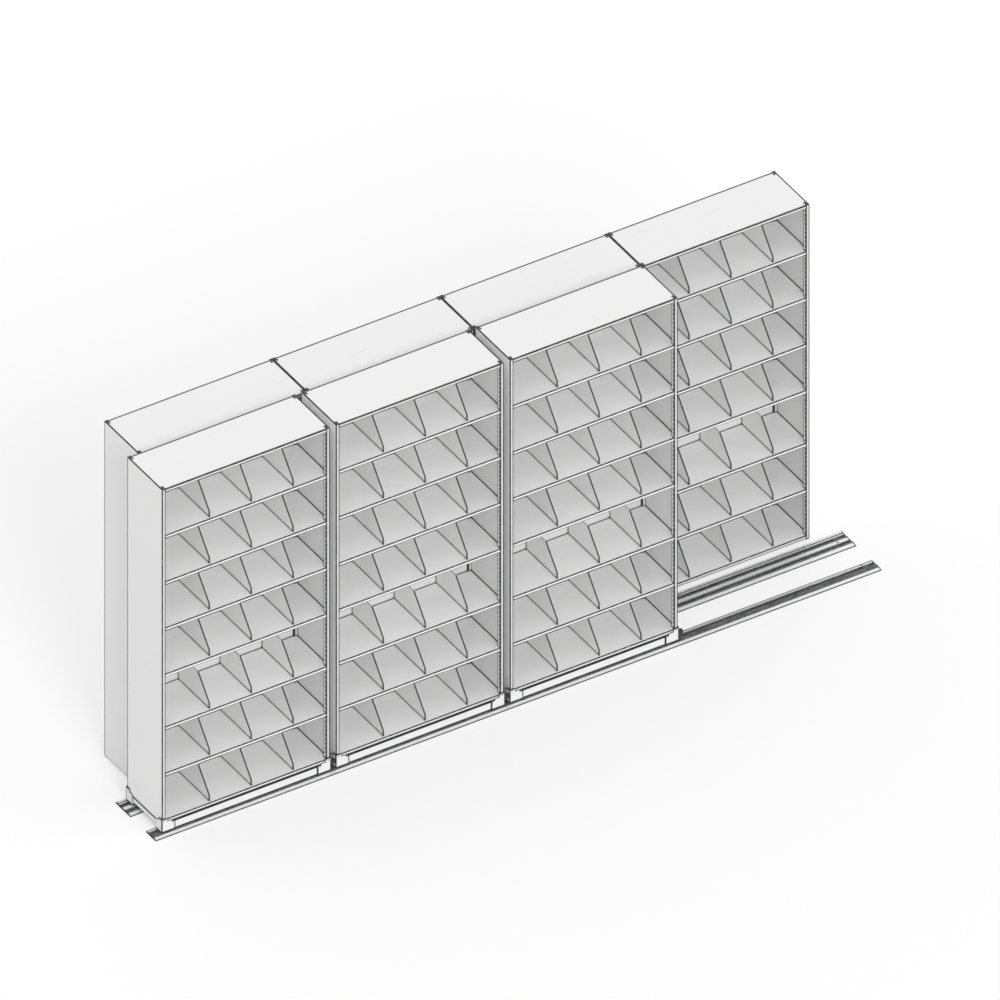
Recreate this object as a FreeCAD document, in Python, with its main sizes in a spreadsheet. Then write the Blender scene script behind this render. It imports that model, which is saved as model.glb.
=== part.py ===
import FreeCAD, Part
import Sketcher
import math
import os
import re

# Two-deep sliding shelving: four fixed bays stand side by side, and three bays on
# wheeled carriages roll in front of them on two floor tracks.
# Frame: +X runs along the rows to the right, +Y to the rear, +Z up. The origin is on the
# floor, midway along the tracks and midway between the rear row's back and the front
# track's front edge. The front row stands packed to the left.

REAR_UNITS = 4
FRONT_UNITS = 3
LEVELS = 7
TALL_LEVEL = 3
DIVIDERS_PER_LEVEL = 3
TREAD_RIBS = 3

SIZES = {
    # bays
    "bay_width": 914.4,
    "bay_depth": 304.8,
    "bay_height": 1930.4,
    "sheet_gauge": 1.0,
    "fit_gap": 0.3,
    # rows
    "row_gap": 50.8,
    "unit_gap": 35.0,
    "rest_overhang": 97.3,
    # corner posts
    "post_width": 17.0,
    "post_depth": 25.4,
    "post_wall": 1.5,
    "post_rounding": 1.2,
    "post_crown": 2.5,
    # shelves
    "shelf_lip": 19.0,
    "shelf_hem": 9.0,
    "foot_space": 3.9,
    "tall_extra": 38.1,
    # back panels
    "back_recess": 18.5,
    # file dividers
    "divider_first": 266.7,
    "divider_pitch": 228.6,
    "divider_setback": 12.7,
    "divider_height": 152.4,
    "divider_nose": 32.0,
    "divider_slant": 98.0,
    "divider_web": 1.2,
    "divider_rim": 3.0,
    "rim_width": 5.0,
    # shelf clips
    "clip_width": 14.0,
    "clip_leg": 12.0,
    "clip_gauge": 2.0,
    # tracks
    "track_end_margin": 55.1,
    "rib_height": 8.5,
    "land_height": 5.0,
    "groove_floor": 3.5,
    "rib_width": 3.0,
    "ramp_top": 7.0,
    "ramp_edge": 1.2,
    "rear_track_margin": 41.4,
    "rear_hump": 18.0,
    "guide_groove_offset": 48.2,
    "rear_track_width": 131.1,
    "front_track_margin": 29.7,
    "tread_pitch": 6.4,
    "front_track_width": 86.9,
    "anchor_radius": 3.5,
    "anchor_end_margin": 61.2,
    "front_anchor_inset": 8.0,
    # spacer bars between the rear row and the tracks
    "bar_width": 30.0,
    "bar_thickness": 3.0,
    # wheels and axles
    "wheel_inset": 25.4,
    "wheel_radius": 23.0,
    "wheel_width": 14.0,
    "wheel_side_gap": 1.0,
    "wheel_headroom": 3.25,
    "wheel_edge": 1.5,
    "rim_depth": 5.0,
    "web_width": 6.0,
    "hub_radius": 11.0,
    "hub_width": 19.4,
    "rolling_gap": 0.25,
    "running_fit": 0.05,
    "bush_radius": 7.0,
    "axle_radius": 5.0,
    "axle_head": 5.0,
    "axle_head_radius": 8.5,
    "axle_clearance": 2.6,
    # corner brackets
    "bracket_length": 73.7,
    "side_plate": 5.0,
    "front_plate": 4.3,
    "bracket_rib_gap": 3.0,
    "bracket_wall": 3.0,
    "lip_height": 30.0,
    "lip_step": 12.0,
    "lip_tower": 25.0,
    "lip_tail": 50.8,
    "lip_corner": 4.0,
    "bolt_radius": 5.5,
    "bolt_head": 2.6,
    "bolt_rise": 19.0,
    # carriage rails
    "skirt_rib_gap": 2.0,
    "side_rail_height": 28.0,
    "rail_flange": 22.0,
    "rail_wall": 3.0,
    # bumpers
    "bumper_radius": 12.5,
    "bumper_drop": 7.7,
    "bumper_rounding": 2.5,
    # end stops
    "stop_length": 30.0,
    "stop_clearance": 1.5,
}

# Distances that several pieces share, as expressions in the sheet's names.
ROW_WIDTH = f"({REAR_UNITS} * bay_width)"
TRAIN_WIDTH = f"({FRONT_UNITS} * bay_width + {FRONT_UNITS - 1} * unit_gap)"
TRAVEL = f"({ROW_WIDTH} + 2 * rest_overhang - {TRAIN_WIDTH})"
TRAIN_LEFT = f"(-{ROW_WIDTH} / 2 - rest_overhang)"
TRACK_AHEAD = "(front_track_width - front_track_margin - wheel_inset)"
WHOLE_DEPTH = f"(2 * bay_depth + row_gap + {TRACK_AHEAD})"
BACK_Y = f"({WHOLE_DEPTH} / 2)"
REAR_FACE_Y = f"({BACK_Y} - bay_depth)"
FRONT_ROW_Y = f"({REAR_FACE_Y} - row_gap - bay_depth)"
FRONT_WHEEL_Y = f"({FRONT_ROW_Y} + wheel_inset)"
REAR_WHEEL_Y = f"({FRONT_ROW_Y} + bay_depth - wheel_inset)"
REAR_TRACK_BACK_Y = f"({REAR_WHEEL_Y} + rear_track_margin)"
REAR_TRACK_FRONT_Y = f"({REAR_TRACK_BACK_Y} - rear_track_width)"
FRONT_TRACK_BACK_Y = f"({FRONT_WHEEL_Y} + front_track_margin)"
TRACK_LENGTH = f"({ROW_WIDTH} + 2 * (rest_overhang + track_end_margin))"
ANCHOR_SPAN = f"({TRACK_LENGTH} - 2 * anchor_end_margin)"
REAR_ANCHOR_INSET = "(rear_track_margin + guide_groove_offset / 2)"
GROOVE_WIDTH = "(wheel_width + 2 * wheel_side_gap)"
LEVEL_PITCH = f"((bay_height - post_crown - foot_space - shelf_lip - tall_extra) / {LEVELS})"
POST_SPACE = "(sheet_gauge + post_width + fit_gap)"
SHELF_DEPTH = "(bay_depth - back_recess - fit_gap)"
WHEEL_X = "(bracket_length / 2 - side_plate)"
WHEEL_Z = "(groove_floor + rolling_gap + wheel_radius)"
CARRIAGE_HEIGHT = f"({WHEEL_Z} + wheel_radius + wheel_headroom + bracket_wall)"
CHEEK_GAP = "(hub_width / 2 + fit_gap)"
CHEEK_REACH = f"({CHEEK_GAP} + bracket_wall)"
BRACKET_DEPTH = f"(front_plate + wheel_inset + {CHEEK_REACH} + axle_head + axle_clearance + bracket_wall)"
BRACKET_BASE = "(rib_height + bracket_rib_gap)"
SKIRT_BASE = "(rib_height + skirt_rib_gap)"

doc = FreeCAD.newDocument("SlidingShelving")
sheet = doc.addObject("Spreadsheet::Sheet", "Sizes")
for row, (alias, size) in enumerate(SIZES.items(), start=1):
    sheet.set(f"A{row}", alias)
    sheet.set(f"B{row}", str(size))
    sheet.setAlias(f"B{row}", alias)
doc.recompute()

nodes = []


def bound(text):
    """Point each size that an expression names at its cell in the sheet."""
    return re.sub(r"[a-z_]+", lambda word: f"Sizes.{word[0]}" if word[0] in SIZES else word[0], text)


def number(text):
    """Work out an expression's present value in millimetres."""
    return float(sheet.evalExpression(bound(text)))


def bind(item, **expressions):
    """Tie properties of an object to expressions; place_x, place_y and place_z move it."""
    for name, text in expressions.items():
        target = name.replace("place_", "Placement.Base.") if name.startswith("place_") else name
        item.setExpression(target, bound(text))
    return item


def place(item, x="0", y="0", z="0"):
    """Set an object at a point given by three expressions."""
    return bind(item, place_x=x, place_y=y, place_z=z)


# ---------------------------------------------------------------- Part primitives


def box(name, corner, size):
    """A block from its lowest corner and its three sides."""
    block = doc.addObject("Part::Box", name)
    bind(block, Length=size[0], Width=size[1], Height=size[2])
    return place(block, *corner)


def fuse(name, pieces):
    """Join overlapping or touching shapes into one solid."""
    joined = doc.addObject("Part::MultiFuse", name)
    joined.Shapes = pieces
    joined.Refine = True
    return joined


def cut(name, base, tool):
    """Take one shape out of another."""
    result = doc.addObject("Part::Cut", name)
    result.Base = base
    result.Tool = tool
    return result


def mirrored(name, source, normal, through):
    """A mirror image across the plane with this normal, at this distance along it."""
    image = doc.addObject("Part::Mirroring", name)
    image.Source = source
    image.Normal = FreeCAD.Vector(*normal)
    axis = "xyz"[normal.index(1)]
    image.setExpression(f"Base.{axis}", bound(through))
    return image


def along_y(name, kind, x, y, z, **expressions):
    """A cylinder or prism that lies along +Y from the given point."""
    item = doc.addObject(kind, name)
    item.Placement.Rotation = FreeCAD.Rotation(FreeCAD.Vector(1, 0, 0), -90)
    bind(item, **expressions)
    return place(item, x, y, z)


# ------------------------------------------------------------- PartDesign helpers


def new_body(name):
    return doc.addObject("PartDesign::Body", name)


def new_sketch(body, plane, name):
    """A sketch on one of the body's own origin planes."""
    sketch = body.newObject("Sketcher::SketchObject", name)
    face = next(item for item in body.Origin.OriginFeatures if item.Role == plane)
    sketch.AttachmentSupport = [(face, "")]
    sketch.MapMode = "FlatFace"
    return sketch


def hold_point(sketch, geometry, end, x, y):
    """Fix a point of a sketch at two expressions, measured from the sketch's origin."""
    for kind, text in (("DistanceX", x), ("DistanceY", y)):
        index = sketch.addConstraint(Sketcher.Constraint(kind, -1, 1, geometry, end, number(text)))
        sketch.setExpression(f"Constraints[{index}]", bound(text))


def loop(sketch, corners):
    """A closed straight-sided loop whose corners follow the sheet."""
    points = [FreeCAD.Vector(number(x), number(y), 0) for x, y in corners]
    first = sketch.GeometryCount
    for start, end in zip(points, points[1:] + points[:1]):
        sketch.addGeometry(Part.LineSegment(start, end), False)
    for index, (x, y) in enumerate(corners):
        after = (index + 1) % len(corners)
        sketch.addConstraint(Sketcher.Constraint("Coincident", first + index, 2, first + after, 1))
        hold_point(sketch, first + index, 1, x, y)
    return sketch


def ring(sketch, x, y, radius):
    """A circle whose centre and radius follow the sheet."""
    centre = FreeCAD.Vector(number(x), number(y), 0)
    circle = sketch.addGeometry(Part.Circle(centre, FreeCAD.Vector(0, 0, 1), number(radius)), False)
    index = sketch.addConstraint(Sketcher.Constraint("Radius", circle, number(radius)))
    sketch.setExpression(f"Constraints[{index}]", bound(radius))
    hold_point(sketch, circle, 3, x, y)
    return sketch


def rectangle(x0, y0, x1, y1):
    return [(x0, y0), (x1, y0), (x1, y1), (x0, y1)]


def extrude(body, kind, sketch, length, reverse=False, both_ways=False):
    """A Pad or Pocket of a sketch."""
    feature = body.newObject(f"PartDesign::{kind}", f"{kind}_{sketch.Name}")
    feature.Profile = sketch
    feature.Reversed = reverse
    feature.Midplane = both_ways
    bind(feature, Length=length)
    sketch.Visibility = False
    return feature


def revolve(body, sketch):
    """A full turn of a sketch about its own horizontal axis."""
    feature = body.newObject("PartDesign::Revolution", f"Revolution_{sketch.Name}")
    feature.Profile = sketch
    feature.ReferenceAxis = (sketch, ["H_Axis"])
    feature.Angle = 360
    sketch.Visibility = False
    return feature


# ------------------------------------------------------------- copies and nodes


def copy(source, x="0", y="0", z="0"):
    """A linked copy of a finished piece."""
    link = doc.addObject("App::Link", f"{source.Name}_copy")
    link.LinkedObject = source
    return place(link, x, y, z)


def node(name, pieces, x="0", y="0", z="0"):
    """A named sub-part: its pieces as separate solids, placed together."""
    group = doc.addObject("Part::Compound", name)
    group.Label = name
    group.Links = pieces
    nodes.append(group)
    return place(group, x, y, z)


# ------------------------------------------------------------- pieces of one bay
# A bay's own frame: x from its left side, y from its front face to the rear, z from its base.


def make_post():
    """Corner post: a rounded square tube."""
    body = new_body("post")
    sketch = new_sketch(body, "XY_Plane", "post_section")
    loop(sketch, rectangle("0", "0", "post_width", "post_depth"))
    tube = extrude(body, "Pad", sketch, "bay_height")
    doc.recompute()
    corners = [
        f"Edge{index}"
        for index, edge in enumerate(tube.Shape.Edges, start=1)
        if edge.BoundBox.ZLength > number("bay_height") / 2
    ]
    rounding = body.newObject("PartDesign::Fillet", "post_corners")
    rounding.Base = (tube, corners)
    bind(rounding, Radius="post_rounding")
    bore = new_sketch(body, "XY_Plane", "post_bore")
    inside = rectangle("post_wall", "post_wall", "post_width - post_wall", "post_depth - post_wall")
    loop(bore, inside)
    extrude(body, "Pocket", bore, "bay_height", reverse=True)
    return body


def make_side_panel():
    """Closed side sheet, the full depth of the bay."""
    return box(
        "side_panel",
        ("0", "0", "foot_space"),
        ("sheet_gauge", "bay_depth", "bay_height - post_crown - foot_space"),
    )


def make_back_panel():
    """Back sheet with a flange turned to the rear all round, held between the rear posts."""
    width = f"bay_width - 2 * {POST_SPACE}"
    height = "bay_height - post_crown - foot_space"
    front = "bay_depth - back_recess"
    tray = box("back_block", (POST_SPACE, front, "foot_space"), (width, "back_recess", height))
    hollow = box(
        "back_hollow",
        (f"{POST_SPACE} + sheet_gauge", f"{front} + sheet_gauge", "foot_space + sheet_gauge"),
        (f"{width} - 2 * sheet_gauge", "back_recess", f"{height} - 2 * sheet_gauge"),
    )
    return cut("back_panel", tray, hollow)


def shelf_outline(inset):
    """A shelf's outline with a notch at each post, moved in by a distance."""
    left = f"sheet_gauge + fit_gap + {inset}"
    right = f"bay_width - sheet_gauge - fit_gap - {inset}"
    left_post = f"{POST_SPACE} + {inset}"
    right_post = f"bay_width - {POST_SPACE} - {inset}"
    front = inset
    rear = f"{SHELF_DEPTH} - {inset}"
    front_post = f"post_depth + fit_gap + {inset}"
    rear_post = f"bay_depth - post_depth - fit_gap - {inset}"
    return [
        (left_post, front),
        (right_post, front),
        (right_post, front_post),
        (right, front_post),
        (right, rear_post),
        (right_post, rear_post),
        (right_post, rear),
        (left_post, rear),
        (left_post, rear_post),
        (left, rear_post),
        (left, front_post),
        (left_post, front_post),
    ]


def make_shelf():
    """Folded shelf: a top sheet with a lip turned down all round and a hem inside the front lip."""
    body = new_body("shelf")
    plate = loop(new_sketch(body, "XY_Plane", "shelf_plate"), shelf_outline("0"))
    extrude(body, "Pad", plate, "shelf_lip")
    under = loop(new_sketch(body, "XY_Plane", "shelf_underside"), shelf_outline("sheet_gauge"))
    extrude(body, "Pocket", under, "shelf_lip - sheet_gauge", reverse=True)
    hem = new_sketch(body, "XY_Plane", "shelf_hem_strip")
    loop(hem, rectangle(POST_SPACE, "0", f"bay_width - {POST_SPACE}", "shelf_hem"))
    extrude(body, "Pad", hem, "sheet_gauge")
    return body


def divider_outline(inset):
    """A divider's outline, moved in by a distance: low nose, slanted edge, level top."""
    rise = "(divider_height - divider_nose)"
    slant = f"sqrt(divider_slant ^ 2 + {rise} ^ 2)"
    length = f"({SHELF_DEPTH} - divider_setback)"
    nose = f"divider_nose + ({rise} - {slant}) * ({inset}) / divider_slant"
    top = f"divider_slant + ({slant} - divider_slant) * ({inset}) / {rise}"
    return [
        (inset, inset),
        (f"{length} - {inset}", inset),
        (f"{length} - {inset}", f"divider_height - {inset}"),
        (top, f"divider_height - {inset}"),
        (inset, nose),
    ]


def make_divider():
    """File divider: a thin web inside a thicker hemmed rim."""
    body = new_body("divider")
    plate = loop(new_sketch(body, "YZ_Plane", "divider_plate"), divider_outline("0"))
    extrude(body, "Pad", plate, "divider_rim")
    for side in ("left", "right"):
        face = loop(new_sketch(body, "YZ_Plane", f"divider_{side}_face"), divider_outline("rim_width"))
        if side == "right":
            bind(face, **{"AttachmentOffset.Base.z": "(divider_rim + divider_web) / 2"})
        extrude(body, "Pocket", face, "(divider_rim - divider_web) / 2", reverse=True)
    return body


def make_clip():
    """Front left shelf clip: one leg flat on the post, the other under the shelf's side lip."""
    body = new_body("clip")
    sketch = new_sketch(body, "YZ_Plane", "clip_section")
    corners = [
        ("0", "0"),
        ("clip_leg", "0"),
        ("clip_leg", "-clip_gauge"),
        ("clip_gauge", "-clip_gauge"),
        ("clip_gauge", "-clip_leg"),
        ("0", "-clip_leg"),
    ]
    loop(sketch, corners)
    extrude(body, "Pad", sketch, "clip_width")
    return place(body, "sheet_gauge + fit_gap", "post_depth")


def make_foot():
    """Front left foot under the lowest shelf, beside the post."""
    corner = ("sheet_gauge + fit_gap", "post_depth", "0")
    return box("shelf_foot", corner, ("clip_width", "clip_leg", "foot_space"))


def shelf_base(level):
    """Height of the underside of the shelf at this level, from the bay's base."""
    extra = " + tall_extra" if level >= TALL_LEVEL else ""
    return f"(foot_space + {level} * {LEVEL_PITCH}{extra})"


# --------------------------------------------------------------------- tracks
# A track's section: y from its rear edge to the front (negative), z from the floor.


def groove(centre):
    """Section points of a wheel groove between two ribs, from rear to front."""
    half = f"{GROOVE_WIDTH} / 2"
    return [
        (f"{centre} + {half} + rib_width", "land_height"),
        (f"{centre} + {half} + rib_width", "rib_height"),
        (f"{centre} + {half}", "rib_height"),
        (f"{centre} + {half}", "groove_floor"),
        (f"{centre} - {half}", "groove_floor"),
        (f"{centre} - {half}", "rib_height"),
        (f"{centre} - {half} - rib_width", "rib_height"),
        (f"{centre} - {half} - rib_width", "land_height"),
    ]


def ramp(start, width):
    """Section points of the sloped front edge."""
    return [
        (start, "land_height"),
        (f"{start} - rib_width", "ramp_top"),
        (f"-{width}", "ramp_edge"),
        (f"-{width}", "0"),
    ]


def make_track(name, points, anchor_inset):
    """A floor track: its section drawn out along X, with anchor holes near both ends."""
    body = new_body(name)
    section = loop(new_sketch(body, "YZ_Plane", f"{name}_section"), points)
    extrude(body, "Pad", section, TRACK_LENGTH, both_ways=True)
    holes = new_sketch(body, "XY_Plane", f"{name}_anchors")
    for span in (ANCHOR_SPAN, f"{ANCHOR_SPAN} / 3"):
        for side in ("-", ""):
            ring(holes, f"{side}{span} / 2", f"-{anchor_inset}", "anchor_radius")
    extrude(body, "Pocket", holes, "rib_height", reverse=True)
    return body


def make_rear_track():
    """Rear track: a hump, the wheel groove, a second guide groove and the front ramp."""
    first = "-rear_track_margin"
    second = f"{first} - guide_groove_offset"
    hump = [
        ("0", "0"),
        ("0", "ramp_edge"),
        ("-rear_hump / 3", "rib_height"),
        ("-rear_hump", "rib_height"),
        ("-rear_hump", "land_height"),
    ]
    end = f"{second} - {GROOVE_WIDTH} / 2 - 2 * rib_width"
    points = hump + groove(first) + groove(second) + ramp(end, "rear_track_width")
    return make_track("rear_track_bar", points, REAR_ANCHOR_INSET)


def make_front_track():
    """Front track: a flat land, the wheel groove, tread ribs and the front ramp."""
    centre = "-front_track_margin"
    points = [("0", "0"), ("0", "land_height")] + groove(centre)
    start = f"{centre} - {GROOVE_WIDTH} / 2 - rib_width"
    for index in range(1, TREAD_RIBS + 1):
        rear = f"{start} - {index} * tread_pitch + rib_width"
        points += [
            (rear, "land_height"),
            (rear, "rib_height"),
            (f"{rear} - rib_width", "rib_height"),
            (f"{rear} - rib_width", "land_height"),
        ]
    end = f"{start} - {TREAD_RIBS} * tread_pitch - rib_width"
    points += ramp(end, "front_track_width")
    return make_track("front_track_bar", points, "front_anchor_inset")


def stop_pieces():
    """Blocks in the wheel grooves that the end wheels meet just past each end of travel."""
    top = f"({BRACKET_BASE} - stop_clearance)"
    reach = f"sqrt(wheel_radius ^ 2 - ({WHEEL_Z} - {top}) ^ 2)"
    left = f"{TRAIN_LEFT} + {WHEEL_X} - {reach} - fit_gap - stop_length"
    right = f"{TRAIN_LEFT} + {TRAIN_WIDTH} + {TRAVEL} - {WHEEL_X} + {reach} + fit_gap"
    width = f"({GROOVE_WIDTH} - 2 * fit_gap)"
    blocks = []
    for end, x in (("left", left), ("right", right)):
        for line, y in (("front", FRONT_WHEEL_Y), ("rear", REAR_WHEEL_Y)):
            corner = (x, f"{y} - {width} / 2", "groove_floor")
            size = ("stop_length", width, f"{top} - groove_floor")
            blocks.append(box(f"stop_{line}_{end}", corner, size))
    return blocks


def spacer_bars():
    """Flat bars on the floor that hold the tracks at their distance from the rear row."""
    bars = []
    for index in (1, 2):
        x = f"-{ROW_WIDTH} / 2 + {index} * bay_width - bar_width / 2"
        spans = (
            ("rear", REAR_TRACK_BACK_Y, REAR_FACE_Y),
            ("front", FRONT_TRACK_BACK_Y, REAR_TRACK_FRONT_Y),
        )
        for name, start, end in spans:
            size = ("bar_width", f"{end} - {start}", "bar_thickness")
            bars.append(box(f"bar_{name}_{index}", (x, start, "0"), size))
    return bars


# ------------------------------------------------------------- pieces of a carriage
# A carriage's own frame: x from its bay's left side, y from its bay's front face, z from the floor.


def lip_leg(name, plane, start, reach, plate):
    """One leg of a bracket's raised lip: high at the post, stepped down along the bay."""
    body = new_body(name)
    top = f"{CARRIAGE_HEIGHT} + lip_height"
    step = f"{CARRIAGE_HEIGHT} + lip_step"
    corners = [
        (start, CARRIAGE_HEIGHT),
        (reach, CARRIAGE_HEIGHT),
        (reach, f"{step} - lip_corner"),
        (f"{reach} - lip_corner", step),
        ("lip_tower", step),
        ("lip_tower", f"{top} - lip_corner"),
        ("lip_tower - lip_corner", top),
        (start, top),
    ]
    sketch = loop(new_sketch(body, plane, f"{name}_side"), corners)
    extrude(body, "Pad", sketch, plate, reverse=(plane == "YZ_Plane"))
    return body


def make_bracket():
    """Front left corner bracket: a wheel housing open below, two axle cheeks and a raised lip."""
    height = f"{CARRIAGE_HEIGHT} - {BRACKET_BASE}"
    shell = box(
        "bracket_block",
        ("-side_plate", "-front_plate", BRACKET_BASE),
        ("bracket_length", BRACKET_DEPTH, height),
    )
    hollow = box(
        "bracket_hollow",
        ("bracket_wall - side_plate", "bracket_wall - front_plate", "0"),
        (
            "bracket_length - 2 * bracket_wall",
            f"{BRACKET_DEPTH} - 2 * bracket_wall",
            f"{CARRIAGE_HEIGHT} - bracket_wall",
        ),
    )
    cheeks = []
    for name, y in (("front", f"wheel_inset - {CHEEK_REACH}"), ("rear", f"wheel_inset + {CHEEK_GAP}")):
        corner = ("bracket_wall - side_plate", y, BRACKET_BASE)
        size = ("bracket_length - 2 * bracket_wall", "bracket_wall", height)
        cheeks.append(box(f"cheek_{name}", corner, size))
    legs = [
        lip_leg("lip_front", "XZ_Plane", "-side_plate", "lip_tail", "front_plate"),
        lip_leg("lip_side", "YZ_Plane", "-front_plate", f"{BRACKET_DEPTH} - front_plate", "side_plate"),
    ]
    housing = fuse("bracket_solid", [cut("bracket_shell", shell, hollow)] + cheeks + legs)
    bore = along_y(
        "bracket_bore", "Part::Cylinder", WHEEL_X, f"wheel_inset - {CHEEK_GAP} - 2 * bracket_wall", WHEEL_Z,
        Radius="axle_radius", Height=f"2 * {CHEEK_GAP} + 4 * bracket_wall",
    )
    return cut("bracket", housing, bore)


def make_axle_set():
    """Axle bolt with its head, the bush that the wheel turns on and the nut."""
    head_y = f"wheel_inset + {CHEEK_REACH}"
    nut_y = f"wheel_inset - {CHEEK_REACH} - axle_head"
    shank = along_y(
        "axle_shank", "Part::Cylinder", WHEEL_X, nut_y, WHEEL_Z,
        Radius="axle_radius", Height=f"2 * {CHEEK_REACH} + axle_head",
    )
    hexagons = []
    for name, y in (("axle_head_block", head_y), ("axle_nut_block", nut_y)):
        block = along_y(
            name, "Part::Prism", WHEEL_X, y, WHEEL_Z, Circumradius="axle_head_radius", Height="axle_head"
        )
        block.Polygon = 6
        hexagons.append(block)
    drilled = []
    for name, blank, y, length in (
        ("axle_nut", hexagons[1], nut_y, "axle_head"),
        ("axle_bush", None, f"wheel_inset - {CHEEK_GAP}", f"2 * {CHEEK_GAP}"),
    ):
        outer = blank or along_y(
            "bush_outer", "Part::Cylinder", WHEEL_X, y, WHEEL_Z, Radius="bush_radius", Height=length
        )
        hole = along_y(f"{name}_hole", "Part::Cylinder", WHEEL_X, y, WHEEL_Z, Radius="axle_radius", Height=length)
        drilled.append(cut(name, outer, hole))
    return [fuse("axle_bolt", [shank, hexagons[0]])] + drilled


def make_lip_bolt(name, turn, x, y):
    """Low round bolt head on one leg of a bracket's lip, turned to face out from it."""
    body = new_body(name)
    sketch = new_sketch(body, "XY_Plane", f"{name}_section")
    corners = [
        ("0", "0"),
        ("bolt_head", "0"),
        ("bolt_head", "bolt_radius * 0.6"),
        ("bolt_head * 0.6", "bolt_radius * 0.9"),
        ("0", "bolt_radius"),
    ]
    revolve(body, loop(sketch, corners))
    body.Placement.Rotation = FreeCAD.Rotation(FreeCAD.Vector(0, 0, 1), turn)
    return place(body, x, y, f"{CARRIAGE_HEIGHT} + bolt_rise")


def make_wheel():
    """Grooved-track wheel: rim, thin web and hub, bored to run on the bush."""
    body = new_body("wheel")
    sketch = new_sketch(body, "YZ_Plane", "wheel_section")
    half = [
        ("hub_width / 2", "bush_radius + running_fit"),
        ("hub_width / 2", "hub_radius"),
        ("web_width / 2", "hub_radius"),
        ("web_width / 2", "wheel_radius - rim_depth"),
        ("wheel_width / 2", "wheel_radius - rim_depth"),
        ("wheel_width / 2", "wheel_radius - wheel_edge"),
        ("wheel_width / 2 - wheel_edge", "wheel_radius"),
    ]
    other = [(f"-({y})", z) for y, z in reversed(half)]
    revolve(body, loop(sketch, half + other))
    return body


def carriage_rails():
    """Skirt angles along the front and rear, and side angles between the brackets."""
    inner = "bracket_length - side_plate"
    span = f"bay_width - 2 * ({inner})"
    skirt = f"{CARRIAGE_HEIGHT} - {SKIRT_BASE}"
    flange = f"{CARRIAGE_HEIGHT} - rail_wall"
    front = fuse(
        "skirt",
        [
            box("skirt_face", (inner, "0", SKIRT_BASE), (span, "rail_wall", skirt)),
            box("skirt_flange", (inner, "0", flange), (span, "rail_flange", "rail_wall")),
        ],
    )
    start = f"{BRACKET_DEPTH} - front_plate"
    length = f"bay_depth - 2 * ({start})"
    base = f"{CARRIAGE_HEIGHT} - side_rail_height"
    left = fuse(
        "side_rail",
        [
            box("side_rail_face", ("0", start, base), ("rail_wall", length, "side_rail_height")),
            box("side_rail_flange", ("0", start, flange), ("rail_flange", length, "rail_wall")),
        ],
    )
    rear = mirrored("rear_skirt", front, (0, 1, 0), "bay_depth / 2")
    right = mirrored("right_side_rail", left, (1, 0, 0), "bay_width / 2")
    return [front, rear, left, right]


def make_bumper():
    """Round rubber buffer that fills the space between two brackets."""
    body = new_body("bumper")
    length = "(unit_gap - 2 * side_plate - fit_gap)"
    corners = [
        ("0", "0"),
        (length, "0"),
        (length, "bumper_radius - bumper_rounding"),
        (f"{length} - bumper_rounding", "bumper_radius"),
        ("0", "bumper_radius"),
    ]
    revolve(body, loop(new_sketch(body, "XY_Plane", "bumper_section"), corners))
    return body


def at_corners(pieces, name):
    """The front left pieces and their mirror images at a bay's other three corners."""
    corners = list(pieces)
    for piece in pieces:
        right = mirrored(f"{name}_right", piece, (1, 0, 0), "bay_width / 2")
        corners += [right]
        corners += [mirrored(f"{name}_rear", item, (0, 1, 0), "bay_depth / 2") for item in (piece, right)]
    return corners


# --------------------------------------------------------------- the whole object

post = make_post()
side_panel = make_side_panel()
back_panel = make_back_panel()
shelf = make_shelf()
divider = make_divider()
wheel = make_wheel()
bumper = make_bumper()

right_post_x = "bay_width - sheet_gauge - post_width"
rear_post_y = "bay_depth - post_depth"
frame_pieces = [side_panel, copy(side_panel, "bay_width - sheet_gauge", "0", "foot_space")]
for x in ("sheet_gauge", right_post_x):
    for y in ("0", rear_post_y):
        frame_pieces.append(copy(post, x, y))

shelf_pieces = [copy(shelf, z=shelf_base(level)) for level in range(LEVELS + 1)]

divider_pieces = []
for level in range(LEVELS):
    for index in range(DIVIDERS_PER_LEVEL):
        x = f"divider_first + {index} * divider_pitch - divider_rim / 2"
        divider_pieces.append(copy(divider, x, "divider_setback", f"{shelf_base(level)} + shelf_lip"))

feet = at_corners([make_foot()], "foot")
clips = at_corners([make_clip()], "clip")
level_clips = doc.addObject("Part::Compound", "level_clips")
level_clips.Links = clips
clip_pieces = feet + [copy(level_clips, z=shelf_base(level)) for level in range(1, LEVELS + 1)]
unit_clips = doc.addObject("Part::Compound", "unit_clips")
unit_clips.Links = clip_pieces


def bay_nodes(prefix, x, y, z):
    """The four sub-parts that every bay has."""
    node(f"{prefix}_side_frames", frame_pieces, x, y, z)
    node(f"{prefix}_back_panel", [back_panel], x, y, z)
    node(f"{prefix}_shelves", shelf_pieces, x, y, z)
    node(f"{prefix}_dividers", divider_pieces, x, y, z)


rear_clips = []
for unit in range(REAR_UNITS):
    unit_x = f"{unit} * bay_width - {ROW_WIDTH} / 2"
    bay_nodes(f"rear_unit_{unit + 1}", unit_x, REAR_FACE_Y, "0")
    rear_clips.append(copy(unit_clips, unit_x, REAR_FACE_Y))
node("rear_row_shelf_clips", rear_clips)

node("rear_track", [make_rear_track()], y=REAR_TRACK_BACK_Y)
node("front_track", [make_front_track()], y=FRONT_TRACK_BACK_Y)
node("track_end_stops", stop_pieces())
node("track_spacer_bars", spacer_bars())

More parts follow.
